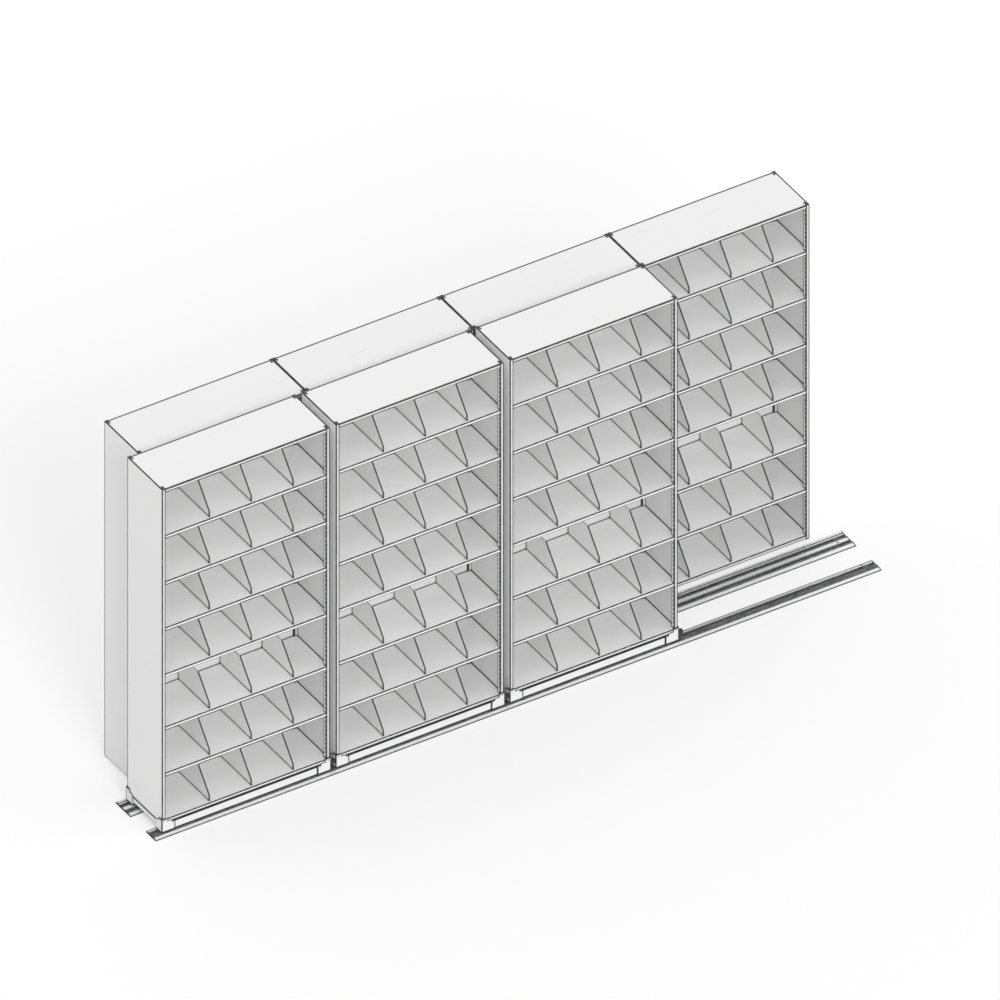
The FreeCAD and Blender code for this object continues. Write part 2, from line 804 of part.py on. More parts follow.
rails = carriage_rails()
brackets = at_corners([make_bracket()], "bracket")
lip_bolts = [
    make_lip_bolt("side_bolt", 180, "-side_plate", "post_depth / 2"),
    make_lip_bolt("front_bolt", -90, "sheet_gauge + post_width / 2", "-front_plate"),
]
fasteners = at_corners(make_axle_set() + lip_bolts, "fastener")
bumper_x = "bay_width + side_plate"
bumper_inset = "bumper_radius - front_plate + fit_gap"
bumper_z = f"{CARRIAGE_HEIGHT} - bumper_drop"
bumpers = [
    copy(bumper, bumper_x, bumper_inset, bumper_z),
    copy(bumper, bumper_x, f"bay_depth - ({bumper_inset})", bumper_z),
]

for unit in range(FRONT_UNITS):
    unit_x = f"{TRAIN_LEFT} + {unit} * (bay_width + unit_gap)"
    bay_nodes(f"front_unit_{unit + 1}", unit_x, FRONT_ROW_Y, CARRIAGE_HEIGHT)
    node(f"front_unit_{unit + 1}_shelf_clips", [unit_clips], unit_x, FRONT_ROW_Y, CARRIAGE_HEIGHT)
    carriage = f"carriage_{unit + 1}"
    node(f"{carriage}_rails", rails, unit_x, FRONT_ROW_Y)
    node(f"{carriage}_corner_brackets", brackets, unit_x, FRONT_ROW_Y)
    node(f"{carriage}_axles_and_bolts", fasteners, unit_x, FRONT_ROW_Y)
    node(f"{carriage}_bumpers", bumpers, unit_x, FRONT_ROW_Y)
    for side, wheel_x in (("left", WHEEL_X), ("right", f"bay_width - {WHEEL_X}")):
        for line, wheel_y in (("front", FRONT_WHEEL_Y), ("rear", REAR_WHEEL_Y)):
            node(f"{carriage}_wheel_{line}_{side}", [wheel], f"{unit_x} + {wheel_x}", wheel_y, WHEEL_Z)

doc.recompute()


def check_document():
    """Stop if any object failed, any pocket cut nothing or any sub-part isn't a sound shape."""
    for item in doc.Objects:
        if {"Invalid", "Error"} & set(item.State):
            raise RuntimeError(f"{item.Label} failed: {item.State}")
        if item.TypeId == "PartDesign::Pocket":
            if item.Shape.Volume >= item.BaseFeature.Shape.Volume:
                raise RuntimeError(f"{item.Label} cuts nothing")
    for item in nodes:
        if item.Shape.isNull() or not item.Shape.isValid() or not item.Shape.Solids:
            raise RuntimeError(f"{item.Label} has no sound shape")


check_document()
os.makedirs("parts", exist_ok=True)
whole = FreeCAD.BoundBox()
for item in nodes:
    item.Shape.exportStep(f"parts/{item.Label}.step")
    whole.add(item.Shape.BoundBox)
print(f"{len(nodes)} sub-parts, {whole.XLength:.1f} x {whole.YLength:.1f} x {whole.ZLength:.1f} mm")
print(f"front row travel {number(TRAVEL):.2f} mm, wheel turn {math.degrees(1 / number('wheel_radius')):.3f} deg/mm")
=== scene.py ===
"""Finishes and small fittings of the two-deep sliding shelving, laid over its fixed frame."""

import math

import bmesh
import bpy
from mathutils import Matrix, Vector


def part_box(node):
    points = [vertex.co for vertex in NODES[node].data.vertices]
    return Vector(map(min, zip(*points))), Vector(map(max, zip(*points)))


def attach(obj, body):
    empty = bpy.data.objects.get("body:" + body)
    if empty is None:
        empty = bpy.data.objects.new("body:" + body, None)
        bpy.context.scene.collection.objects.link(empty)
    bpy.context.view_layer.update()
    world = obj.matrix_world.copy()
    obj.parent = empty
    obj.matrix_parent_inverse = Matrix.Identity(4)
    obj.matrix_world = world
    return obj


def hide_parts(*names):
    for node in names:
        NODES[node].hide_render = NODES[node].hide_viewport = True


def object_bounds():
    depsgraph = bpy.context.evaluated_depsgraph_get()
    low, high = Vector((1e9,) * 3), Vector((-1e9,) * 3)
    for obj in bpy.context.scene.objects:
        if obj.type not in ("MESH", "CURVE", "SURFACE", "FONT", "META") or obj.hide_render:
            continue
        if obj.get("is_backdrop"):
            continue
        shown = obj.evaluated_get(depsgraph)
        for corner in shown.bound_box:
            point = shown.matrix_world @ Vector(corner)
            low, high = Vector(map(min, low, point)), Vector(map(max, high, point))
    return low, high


bl_info = {
    "name": "Sliding Shelving Finishes",
    "version": (1, 0, 0),
    "blender": (4, 5, 0),
    "location": "View3D > Sidebar > Shelving",
    "description": "Finishes, fittings and stage of a two-deep sliding shelving system",
    "category": "Object",
}

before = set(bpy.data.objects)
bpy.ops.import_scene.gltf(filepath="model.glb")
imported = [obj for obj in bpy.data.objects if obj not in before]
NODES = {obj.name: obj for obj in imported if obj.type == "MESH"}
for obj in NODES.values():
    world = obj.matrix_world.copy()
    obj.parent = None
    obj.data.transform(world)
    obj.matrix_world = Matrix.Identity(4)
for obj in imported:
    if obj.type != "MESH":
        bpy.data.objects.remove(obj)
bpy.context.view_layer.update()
MM = 0.001

REAR_UNITS = [f"rear_unit_{number}" for number in range(1, 5)]
FRONT_UNITS = [f"front_unit_{number}" for number in range(1, 4)]
UNITS = REAR_UNITS + FRONT_UNITS
ROWS = {"rear": REAR_UNITS, "front": FRONT_UNITS}
CARRIAGES = [f"carriage_{number}" for number in range(1, 4)]
BODIES = {unit: unit if unit in FRONT_UNITS else "floor_row" for unit in UNITS}
ROW_OF = {unit: row for row, units in ROWS.items() for unit in units}

# Sizes of the sheets and fittings, with the same values as the frame's solids.
SHEET = 1.0 * MM
FIT = 0.3 * MM
CUT_ROUNDING = 0.25 * MM
BEND_SEGMENTS = 4
BEND_RELIEF = 0.4 * MM
POST_WIDTH = 17.0 * MM
POST_DEPTH = 25.4 * MM
POST_WALL = 1.5 * MM
POST_BORE = (POST_WIDTH - 2 * POST_WALL, POST_DEPTH - 2 * POST_WALL)
SLOT_INSET = 8.0 * MM
CAP_CORNER = 1.5 * MM
SHELF_LIP = 19.0 * MM
SHELF_HEM = 9.0 * MM
SHELF_COUNT = 8
SHELF_PITCH = 266.7 * MM
TALL_LEVEL = 3
TALL_EXTRA = 38.1 * MM
DIVIDER_COUNT = 3
DIVIDER_HEIGHT = 152.4 * MM
DIVIDER_NOSE = 32.0 * MM
DIVIDER_SLANT = 98.0 * MM
DIVIDER_RIM = 3.0 * MM
EDGING_LAP = 0.8 * MM
EDGING_CORNER = 1.6 * MM
EDGING_GAP = 0.6 * MM
EDGING_TURN = 4.0 * MM
RIVET_SEAT = 0.4 * MM
RIVET_DOME = ((1.0, 0.25), (0.86, 0.42), (0.5, 0.52), (0.36, 0.50), (0.30, 0.30))
RIVET_STEPS = 14
COVER_LAP = SHEET + FIT
BAY_MARGIN = 5.0 * MM
BRACKET_LENGTH = 73.7 * MM
BEND_MARK = "bend"

# How far rubs, noise, soiling and painted shade change a finish.
RUB_TINT = 0.12
RUB_DULLNESS = 0.25
SATIN_SPREAD = 0.07
GRAIN_SPREAD = 0.08
TRACK_METAL = 0.4
SOIL_AND_SHADE_DULLNESS = 0.35

# Lamps, floor and camera.
KEY_FROM = (-0.20, -0.80, 0.56)
KEY_SOFTNESS = 20
FILL_FROM = (0.75, -0.55, 0.35)
FILL_SOFTNESS = 30
FLOOR_REACH = 30.0
FLOOR_BOUNCE = 0.75
FLOOR_SHADOWED = 0.60
FLOOR_WHITE = 1.01
SHOWN_WHITE = 1.0
CAMERA_DISTANCE = 12.0
VIEW_DEPTH = 100.0


# ---------------------------------------------------------------- settings


class FinishSettings(bpy.types.PropertyGroup):
    """Colours and surface qualities of every finish."""

    coat: bpy.props.FloatVectorProperty(
        name="Coat",
        description="White powder coat on every sheet",
        subtype="COLOR",
        default=(0.886, 0.886, 0.884),
    )
    coat_roughness: bpy.props.FloatProperty(
        name="Coat roughness",
        description="Satin of the powder coat",
        default=0.58,
        min=0.0,
        max=1.0,
    )
    peel_size: bpy.props.FloatProperty(
        name="Orange peel",
        description="Width of one ripple of the coat",
        default=2.4 * MM,
        unit="LENGTH",
    )
    primer: bpy.props.FloatVectorProperty(
        name="Primer",
        description="Dark primer under a thin coat",
        subtype="COLOR",
        default=(0.016, 0.0162, 0.017),
    )
    # Near-black painted shade, laid into seams and corners by the occlusion mask.
    dust: bpy.props.FloatVectorProperty(
        name="Shade",
        description="Dust held in seams and corners",
        subtype="COLOR",
        default=(0.024, 0.0237, 0.023),
    )
    # Near-black of the tracks: painted shade in their seams and on the groove floors, with soiling
    # there, and their dark edge lines.
    grime: bpy.props.FloatVectorProperty(
        name="Grime",
        description="Black running dirt in the tracks' grooves",
        subtype="COLOR",
        default=(0.018, 0.018, 0.019),
    )
    aluminium: bpy.props.FloatVectorProperty(
        name="Aluminium",
        description="Mill finish of the tracks",
        subtype="COLOR",
        default=(0.86, 0.865, 0.87),
    )
    zinc: bpy.props.FloatVectorProperty(
        name="Zinc",
        description="Plating of clips, bolts, stops and bars",
        subtype="COLOR",
        default=(0.60, 0.61, 0.62),
    )
    phosphate: bpy.props.FloatVectorProperty(
        name="Phosphate",
        description="Dark phosphated steel of the stops",
        subtype="COLOR",
        default=(0.13, 0.132, 0.136),
    )
    steel: bpy.props.FloatVectorProperty(
        name="Steel",
        description="Turned steel of the wheels",
        subtype="COLOR",
        default=(0.46, 0.465, 0.47),
    )
    rubber: bpy.props.FloatVectorProperty(
        name="Rubber",
        description="Moulded rubber of the bumpers",
        subtype="COLOR",
        default=(0.028, 0.028, 0.030),
    )
    plastic: bpy.props.FloatVectorProperty(
        name="Plastic",
        description="Moulded caps in the post tops",
        subtype="COLOR",
        default=(0.035, 0.0355, 0.037),
    )


class FittingSettings(bpy.types.PropertyGroup):
    """Sizes of the rounded edges and of the small fittings."""

    sheet_edge: bpy.props.FloatProperty(
        name="Sheet edge",
        description="Rounding of a coated sheet's edges",
        default=0.4 * MM,
        unit="LENGTH",
    )
    plate_edge: bpy.props.FloatProperty(
        name="Plate edge",
        description="Rounding of the carriages' thicker plates",
        default=0.8 * MM,
        unit="LENGTH",
    )
    metal_edge: bpy.props.FloatProperty(
        name="Metal edge",
        description="Rounding of tracks, bars and clips",
        default=0.3 * MM,
        unit="LENGTH",
    )
    bend: bpy.props.FloatProperty(
        name="Bend", description="Outer radius of a folded sheet", default=4.5 * MM, unit="LENGTH"
    )
    cap_depth: bpy.props.FloatProperty(
        name="Cap depth",
        description="How far a cap's plug reaches into its post",
        default=9.0 * MM,
        unit="LENGTH",
    )
    edging: bpy.props.FloatProperty(
        name="Edging",
        description="Thickness of the dark strip on a divider's front edge",
        default=5.4 * MM,
        unit="LENGTH",
    )
    edging_reach: bpy.props.FloatProperty(
        name="Edging reach",
        description="How far the strip reaches over a divider's face",
        default=7.2 * MM,
        unit="LENGTH",
    )
    rivet_radius: bpy.props.FloatProperty(
        name="Rivet radius",
        description="Radius of a rivet's domed head",
        default=3.2 * MM,
        unit="LENGTH",
    )
    rivets_per_side: bpy.props.IntProperty(
        name="Rivets per side",
        description="Rivets along each side flange of a back panel",
        default=7,
        min=2,
    )
    rivets_per_shelf: bpy.props.IntProperty(
        name="Rivets per shelf",
        description="Rivets from a back panel into each shelf",
        default=3,
        min=1,
    )


class StageSettings(bpy.types.PropertyGroup):
    """Camera, lamps and floor."""

    azimuth: bpy.props.FloatProperty(
        name="Azimuth",
        description="Turn of the view to the object's left",
        default=math.radians(-32.02),
        unit="ROTATION",
    )
    elevation: bpy.props.FloatProperty(
        name="Elevation",
        description="Height of the view over the horizon",
        default=math.radians(36.67),
        unit="ROTATION",
    )
    view_width: bpy.props.FloatProperty(
        name="View width",
        description="Width that the parallel view takes in",
        default=4.6274,
        unit="LENGTH",
    )
    aim: bpy.props.FloatVectorProperty(
        name="Aim",
        description="Point in the middle of the view",
        subtype="XYZ",
        unit="LENGTH",
        default=(0.114, 0.0, 0.925),
    )
    key: bpy.props.FloatProperty(
        name="Key lamp", description="Strength of the soft lamp in front", default=0.95
    )
    fill: bpy.props.FloatProperty(
        name="Fill lamp", description="Strength of the weak lamp on the right", default=0.25
    )
    sky: bpy.props.FloatProperty(
        name="Ambient", description="Strength of the even light from all round", default=0.78
    )


# ---------------------------------------------------------------- node trees


def plug(tree, socket, value):
    """Set a socket, or link it to the output that feeds it."""
    if isinstance(value, bpy.types.NodeSocket):
        tree.links.new(value, socket)
    else:
        socket.default_value = value


def add(tree, kind, inputs=(), **settings):
    """Add a node. Inputs maps its sockets to values, or to the output sockets that feed them."""
    made = tree.nodes.new(kind)
    for name, value in settings.items():
        setattr(made, name, value)
    for name, value in dict(inputs).items():
        plug(tree, made.inputs[name], value)
    return made


def maths(tree, operation, first, *others, clamp=False):
    """Arithmetic from left to right over its values; clamp holds the end result in 0 to 1."""
    for count, value in enumerate(others or (0.0,), start=1):
        step = add(tree, "ShaderNodeMath", {0: first, 1: value}, operation=operation)
        step.use_clamp = clamp and count >= len(others)
        first = step.outputs[0]
    return first


def blend(tree, factor, a, b):
    """A colour between two others."""
    return add(tree, "ShaderNodeMix", {0: factor, 6: a, 7: b}, data_type="RGBA").outputs[2]


def spread(tree, value, low, high):
    """Stretch a value that runs from 0 to 1 so that it runs from low to high."""
    ends = {"Value": value, "To Min": low, "To Max": high}
    return add(tree, "ShaderNodeMapRange", ends, clamp=True).outputs[0]


def window(tree, value, start, end):
    """0 below start, 1 above end, and a smooth climb between them."""
    ends = {"Value": value, "From Min": start, "From Max": end}
    return add(tree, "ShaderNodeMapRange", ends, interpolation_type="SMOOTHSTEP").outputs[0]


def noise(tree, scale, detail, stretch=None):
    """Noise over the object's own coordinates, with stretch as its scale along each axis."""
    place = add(tree, "ShaderNodeTexCoord").outputs["Object"]
    if stretch:
        place = add(tree, "ShaderNodeMapping", {"Vector": place, "Scale": stretch}).outputs[0]
    inputs = {"Vector": place, "Scale": scale, "Detail": detail}
    return add(tree, "ShaderNodeTexNoise", inputs).outputs["Fac"]


def uneven(tree, scale, detail, low, high, stretch=None):
    """Noise between two values, which makes a mask patchy."""
    return spread(tree, noise(tree, scale, detail, stretch), low, high)


def vector_maths(tree, operation, inputs, result="Vector"):
    """One step of arithmetic on vectors."""
    return add(tree, "ShaderNodeVectorMath", inputs, operation=operation).outputs[result]


def split_axes(tree, vector):
    """The X, Y and Z of a vector."""
    return add(tree, "ShaderNodeSeparateXYZ", {"Vector": vector}).outputs


def own_place(tree):
    """X, Y and Z of the shaded point in the object's own coordinates."""
    return split_axes(tree, add(tree, "ShaderNodeTexCoord").outputs["Object"])


def face_normal(tree):
    """X, Y and Z of the flat face's normal."""
    return split_axes(tree, add(tree, "ShaderNodeNewGeometry").outputs["True Normal"])


def new_group(name, inputs, outputs):
    """A shader node group and the sockets of its two ends.

    Inputs and outputs map each socket to its default, a number or a colour.
    """
    tree = bpy.data.node_groups.new(name, "ShaderNodeTree")
    for way, sockets in (("INPUT", inputs), ("OUTPUT", outputs)):
        for socket, default in sockets.items():
            kind = "NodeSocketColor" if isinstance(default, tuple) else "NodeSocketFloat"
            made = tree.interface.new_socket(socket, in_out=way, socket_type=kind)
            made.default_value = default
    return tree, add(tree, "NodeGroupInput").outputs, add(tree, "NodeGroupOutput").inputs


def orange_peel():
    """The low ripple that powder leaves as it melts and flows."""
    tree, given, result = new_group("orange_peel", {"Size": 2.4 * MM}, {"Height": 0.0})
    scale = maths(tree, "DIVIDE", 1.0, given["Size"])
    tree.links.new(noise(tree, scale, 1.0), result["Height"])
    return tree


def tone_drift():
    """Slow drift of a colour over the surface, with very fine specks in it."""
    inputs = {"Color": (1, 1, 1, 1), "Drift": 0.015, "Specks": 0.02}
    outputs = {"Color": (1, 1, 1, 1), "Variation": 0.0}
    tree, given, result = new_group("tone_drift", inputs, outputs)
    slow = maths(tree, "SUBTRACT", noise(tree, 2.3, 3.0), 0.5)
    fine = maths(tree, "SUBTRACT", noise(tree, 620.0, 1.0), 0.5)
    drift = maths(tree, "MULTIPLY", slow, given["Drift"])
    specks = maths(tree, "MULTIPLY", fine, given["Specks"])
    gain = maths(tree, "ADD", drift, specks, 1.0)
    scaled = vector_maths(tree, "SCALE", {0: given["Color"], "Scale": gain})
    tree.links.new(scaled, result["Color"])
    tree.links.new(noise(tree, 9.0, 4.0), result["Variation"])
    return tree


def painted_seam_shade():
    """Painted shade where two surfaces meet: a mask from ambient occlusion that is 1 deep in a
    seam.
    """
    inputs = {"Reach": 12 * MM, "Amount": 0.5}
    tree, given, result = new_group("painted_seam_shade", inputs, {"Mask": 0.0})
    # Ambient occlusion finds the seams and corners where shade falls, and the mask paints shade
    # there.
    open_air = add(tree, "ShaderNodeAmbientOcclusion", {"Distance": given["Reach"]}, samples=8)
    closed = maths(tree, "SUBTRACT", 1.0, open_air.outputs["AO"])
    closed = window(tree, closed, start=0.12, end=0.60)
    patches = uneven(tree, scale=22.0, detail=4.0, low=0.70, high=1.20)
    mask = maths(tree, "MULTIPLY", closed, patches, given["Amount"], clamp=True)
    tree.links.new(mask, result["Mask"])
    return tree


def edge_wear():
    """Thin coat along cut edges, corners and marked bends: a mask that is 1 on the edge."""
    inputs = {"Width": 1.5 * MM, "Amount": 0.5}
    tree, given, result = new_group("edge_wear", inputs, {"Mask": 0.0})
    rounded = add(tree, "ShaderNodeBevel", {"Radius": given["Width"]}, samples=6).outputs[0]
    facing = add(tree, "ShaderNodeNewGeometry").outputs["Normal"]
    turn = vector_maths(tree, "DOT_PRODUCT", {0: rounded, 1: facing}, "Value")
    corner = window(tree, maths(tree, "SUBTRACT", 1.0, turn), start=0.003, end=0.020)
    bend = add(tree, "ShaderNodeAttribute", attribute_name=BEND_MARK).outputs["Fac"]
    edge = maths(tree, "MAXIMUM", corner, bend)
    patches = uneven(tree, scale=38.0, detail=5.0, low=0.75, high=1.25)
    mask = maths(tree, "MULTIPLY", edge, patches, given["Amount"], clamp=True)
    tree.links.new(mask, result["Mask"])
    return tree


def drawn_lines():
    """Fine parallel lines along X, as an extrusion die leaves them."""
    tree, given, result = new_group("drawn_lines", {"Fineness": 900.0}, {"Lines": 0.0})
    lines = noise(tree, given["Fineness"], 3.0, stretch=(0.004, 1.0, 1.0))
    tree.links.new(lines, result["Lines"])
    return tree


def scuffs():
    """Short dull rubs left by hands and boxes: a mask that is 1 in a rub."""
    tree, given, result = new_group("scuffs", {"Amount": 0.5}, {"Mask": 0.0})
    streaks = noise(tree, 26.0, 3.0, stretch=(0.35, 1.0, 5.0))
    streaks = window(tree, streaks, start=0.60, end=0.72)
    patches = window(tree, noise(tree, 4.5, 2.0), start=0.48, end=0.62)
    mask = maths(tree, "MULTIPLY", streaks, patches, given["Amount"], clamp=True)
    tree.links.new(mask, result["Mask"])
    return tree


def nearest(tree, value, first, second):
    """Distance from a value to the nearer of two others."""
    to_first = maths(tree, "ABSOLUTE", maths(tree, "SUBTRACT", value, first))
    to_second = maths(tree, "ABSOLUTE", maths(tree, "SUBTRACT", value, second))
    return maths(tree, "MINIMUM", to_first, to_second)


def repeated(tree, value, pitch):
    """Distance along a value from the middle of the repeat it lies in, with its sign."""
    share = maths(tree, "FRACT", maths(tree, "DIVIDE", value, pitch))
    return maths(tree, "MULTIPLY", maths(tree, "SUBTRACT", share, 0.5), pitch)


def into_bay(tree, x, given):
    """Distance from the left side of the nearest bay; just outside that side it is under 0."""
    from_row = maths(tree, "ADD", maths(tree, "SUBTRACT", x, given["Left"]), BAY_MARGIN)
    from_side = maths(tree, "FLOORED_MODULO", from_row, given["Pitch"])
    return maths(tree, "SUBTRACT", from_side, BAY_MARGIN)


def bay_outline():
    """A mask that is 1 along the outer edges of boxes that repeat along X.

    The boxes are a row's bays, the carriages or a track. Post width and depth place the inner
    corners of posts or brackets, where the coat is thin as well.
    """
    inputs = {
        "Left": 0.0,
        "Pitch": 1.0,
        "Width": 0.9,
        "Front": 0.0,
        "Rear": 0.3,
        "Base": 0.0,
        "Top": 2.0,
        "Post_width": 0.0,
        "Post_depth": 0.0,
        "Reach": 8.0 * MM,
    }
    tree, given, result = new_group("bay_outline", inputs, {"Mask": 0.0})
    place = own_place(tree)
    to_side = nearest(tree, into_bay(tree, place["X"], given), 0.0, given["Width"])
    to_face = nearest(tree, place["Y"], given["Front"], given["Rear"])
    to_end = nearest(tree, place["Z"], given["Base"], given["Top"])
    nearer = maths(tree, "MINIMUM", to_side, to_face)
    farther = maths(tree, "MAXIMUM", to_side, to_face)
    to_edge = maths(tree, "MAXIMUM", nearer, maths(tree, "MINIMUM", farther, to_end))
    to_post = maths(tree, "ABSOLUTE", maths(tree, "SUBTRACT", to_side, given["Post_width"]))
    to_return = maths(tree, "ABSOLUTE", maths(tree, "SUBTRACT", to_face, given["Post_depth"]))
    to_corner = maths(tree, "MAXIMUM", to_post, maths(tree, "MINIMUM", to_face, to_return))
    to_line = maths(tree, "MINIMUM", to_edge, to_corner)
    near = maths(tree, "SUBTRACT", 1.0, maths(tree, "DIVIDE", to_line, given["Reach"]))
    near = window(tree, near, start=0.0, end=0.65)
    patches = uneven(tree, scale=30.0, detail=4.0, low=0.80, high=1.20)
    tree.links.new(maths(tree, "MULTIPLY", near, patches, clamp=True), result["Mask"])
    return tree


def weld_dimples():
    """Two upright rows of round spot-weld dimples: a mask that is 1 in the middle of each."""
    inputs = {"First_row": 0.0, "Second_row": 0.3, "Pitch": 150 * MM}
    tree, given, result = new_group("weld_dimples", inputs, {"Mask": 0.0})
    place = own_place(tree)
    across = nearest(tree, place["Y"], given["First_row"], given["Second_row"])
    away = {"X": repeated(tree, place["Z"], given["Pitch"]), "Y": across}
    away = add(tree, "ShaderNodeCombineXYZ", away).outputs[0]
    radius = vector_maths(tree, "LENGTH", {0: away}, "Value")
    tree.links.new(window(tree, radius, start=3.6 * MM, end=2.2 * MM), result["Mask"])
    return tree


def post_slots():
    """Columns of upright slots in the posts' inner faces: a mask that is 1 in a slot."""
    inputs = {
        "First_row": 0.0,
        "Second_row": 0.3,
        "Left": 0.0,
        "Pitch": 1.0,
        "Width": 0.9,
        "Spacing": 25.4 * MM,
    }
    tree, given, result = new_group("post_slots", inputs, {"Mask": 0.0})
    place = own_place(tree)
    across = nearest(tree, place["Y"], given["First_row"], given["Second_row"])
    across = window(tree, across, start=3.6 * MM, end=3.0 * MM)
    along = maths(tree, "ABSOLUTE", repeated(tree, place["Z"], given["Spacing"]))
    along = window(tree, along, start=9.4 * MM, end=8.8 * MM)
    to_side = nearest(tree, into_bay(tree, place["X"], given), 0.0, given["Width"])
    inner = window(tree, to_side, start=POST_WIDTH - 1.0 * MM, end=POST_WIDTH)
    sideways = maths(tree, "ABSOLUTE", face_normal(tree)["X"])
    sideways = window(tree, sideways, start=0.85, end=0.95)
    mask = maths(tree, "MULTIPLY", across, along, inner, sideways)
    tree.links.new(mask, result["Mask"])
    return tree


def groove_shade_and_soil():
    """Near-black on the level floors of the grooves, painted shade with soiling from the wheels: a
    mask that is 1 where it lies.
    """
    inputs = {"Level": 4.0 * MM, "Amount": 1.0}
    tree, given, result = new_group("groove_shade_and_soil", inputs, {"Mask": 0.0})
    low = maths(tree, "SUBTRACT", given["Level"], own_place(tree)["Z"])
    low = window(tree, low, start=-0.6 * MM, end=0.2 * MM)
    flat = window(tree, face_normal(tree)["Z"], start=0.975, end=0.995)
    patches = uneven(tree, scale=60.0, detail=3.0, low=0.85, high=1.10, stretch=(0.08, 1.0, 1.0))
    mask = maths(tree, "MULTIPLY", low, flat, patches, given["Amount"], clamp=True)
    tree.links.new(mask, result["Mask"])
    return tree


def effect(tree, make, **inputs):
    """Place one of the shared effects above in a material, with its own values."""
    group = bpy.data.node_groups.get(make.__name__) or make()
    return add(tree, "ShaderNodeGroup", inputs, node_tree=group).outputs


# ---------------------------------------------------------------- finishes


def new_material(name, colour, drift, specks):
    """A material, its tree, its shader and the drifting tone of its colour."""
    material = bpy.data.materials.new(name)
    material.use_nodes = True
    tree = material.node_tree
    tone = effect(tree, tone_drift, Color=(*colour, 1), Drift=drift, Specks=specks)
    return material, tree, tree.nodes["Principled BSDF"], tone


def feed(tree, shader, **sockets):
    """Set or link sockets of a shader; an underscore stands for a space."""
    for name, value in sockets.items():
        plug(tree, shader.inputs[name.replace("_", " ")], value)


def bumped(tree, height, distance, strength=1.0, normal=None):
    """A normal that follows a height. Distance is the height's full value in metres."""
    inputs = {"Height": height, "Distance": distance, "Strength": strength}
    if normal:
        inputs["Normal"] = normal
    return add(tree, "ShaderNodeBump", inputs).outputs[0]


def coat(name, wear_width, wear=0.95, roughness_shift=0.0, bay=None, posts=False):
    """White powder coat over dark primer, with painted shade in its seams.

    Bay gives the sizes of the boxes whose outer edges show, and posts adds the slots and weld
    marks of a bay's side frames.
    """
    finish = bpy.context.scene.shelving_finish
    material, tree, shader, tone = new_material(name, finish.coat, drift=0.02, specks=0.025)
    primer = (*finish.primer, 1)
    worn = effect(tree, edge_wear, Width=wear_width, Amount=wear)["Mask"]
    if bay:
        corners = {"Post_width": SHEET + POST_WIDTH, "Post_depth": POST_DEPTH} if posts else {}
        outline = effect(tree, bay_outline, **bay, **corners)["Mask"]
        worn = maths(tree, "MAXIMUM", worn, maths(tree, "MULTIPLY", outline, wear))
    # Painted shade: near-black laid into seams and corners, from ambient occlusion.
    shaded_seams = effect(tree, painted_seam_shade, Reach=10 * MM, Amount=0.95)["Mask"]
    rubbed = effect(tree, scuffs, Amount=0.4)["Mask"]
    colour = blend(tree, maths(tree, "MULTIPLY", rubbed, RUB_TINT), tone["Color"], primer)
    colour = blend(tree, worn, colour, primer)
    colour = blend(tree, shaded_seams, colour, (*finish.dust, 1))
    satin = finish.coat_roughness + roughness_shift
    rough = spread(tree, tone["Variation"], satin - SATIN_SPREAD, satin + SATIN_SPREAD)
    dull = maths(tree, "MULTIPLY", maths(tree, "MAXIMUM", shaded_seams, rubbed), RUB_DULLNESS)
    peel = effect(tree, orange_peel, Size=finish.peel_size)["Height"]
    normal = bumped(tree, peel, distance=0.05 * MM, strength=0.6)
    if posts:
        sides = {name: bay[name] for name in ("Left", "Pitch", "Width")}
        dimples = effect(tree, weld_dimples, **post_rows(bay, POST_DEPTH / 2))["Mask"]
        slots = effect(tree, post_slots, **sides, **post_rows(bay, SLOT_INSET))["Mask"]
        normal = bumped(tree, dimples, distance=-0.35 * MM, normal=normal)
        normal = bumped(tree, slots, distance=-0.8 * MM, normal=normal)
        # Painted shade: the slots take the near-black primer colour, which stands in for the dark
        # inside of an open slot.
        colour = blend(tree, slots, colour, primer)
    feed(tree, shader, Base_Color=colour, Roughness=maths(tree, "ADD", rough, dull))
    feed(tree, shader, Normal=normal, Specular_IOR_Level=0.3)
    return material


def post_rows(bay, inset):
    """Where marks lie on the front and rear posts, as inputs of an effect."""
    return {"First_row": bay["Front"] + inset, "Second_row": bay["Rear"] - inset}


def sheet_coats(part):
    """The coats of one kind of folded sheet, one for each row."""
    coats = {}
    for row, units in ROWS.items():
        bay = bay_sizes(units, part)
        bay["Rear"] -= bpy.context.scene.shelving_fittings.bend
        bay["Reach"] = 10.0 * MM
        coats[row] = coat(f"{row}_{part}_coat", wear_width=6.0 * MM, bay=bay)
    return coats


def bay_sizes(units, part, outer="side_frames"):
    """Where a row's units stand and how high their parts of this kind reach."""
    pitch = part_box(f"{units[1]}_{outer}")[0].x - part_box(f"{units[0]}_{outer}")[0].x
    return outline_sizes(f"{units[0]}_{outer}", f"{units[0]}_{part}", pitch)


def outline_sizes(outer, part, pitch):
    """The box that bay_outline follows: level sizes from one node, heights from another."""
    low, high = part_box(outer)
    base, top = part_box(part)
    return {
        "Left": low.x,
        "Pitch": pitch,
        "Width": high.x - low.x,
        "Front": low.y,
        "Rear": high.y,
        "Base": base.z,
        "Top": top.z,
    }


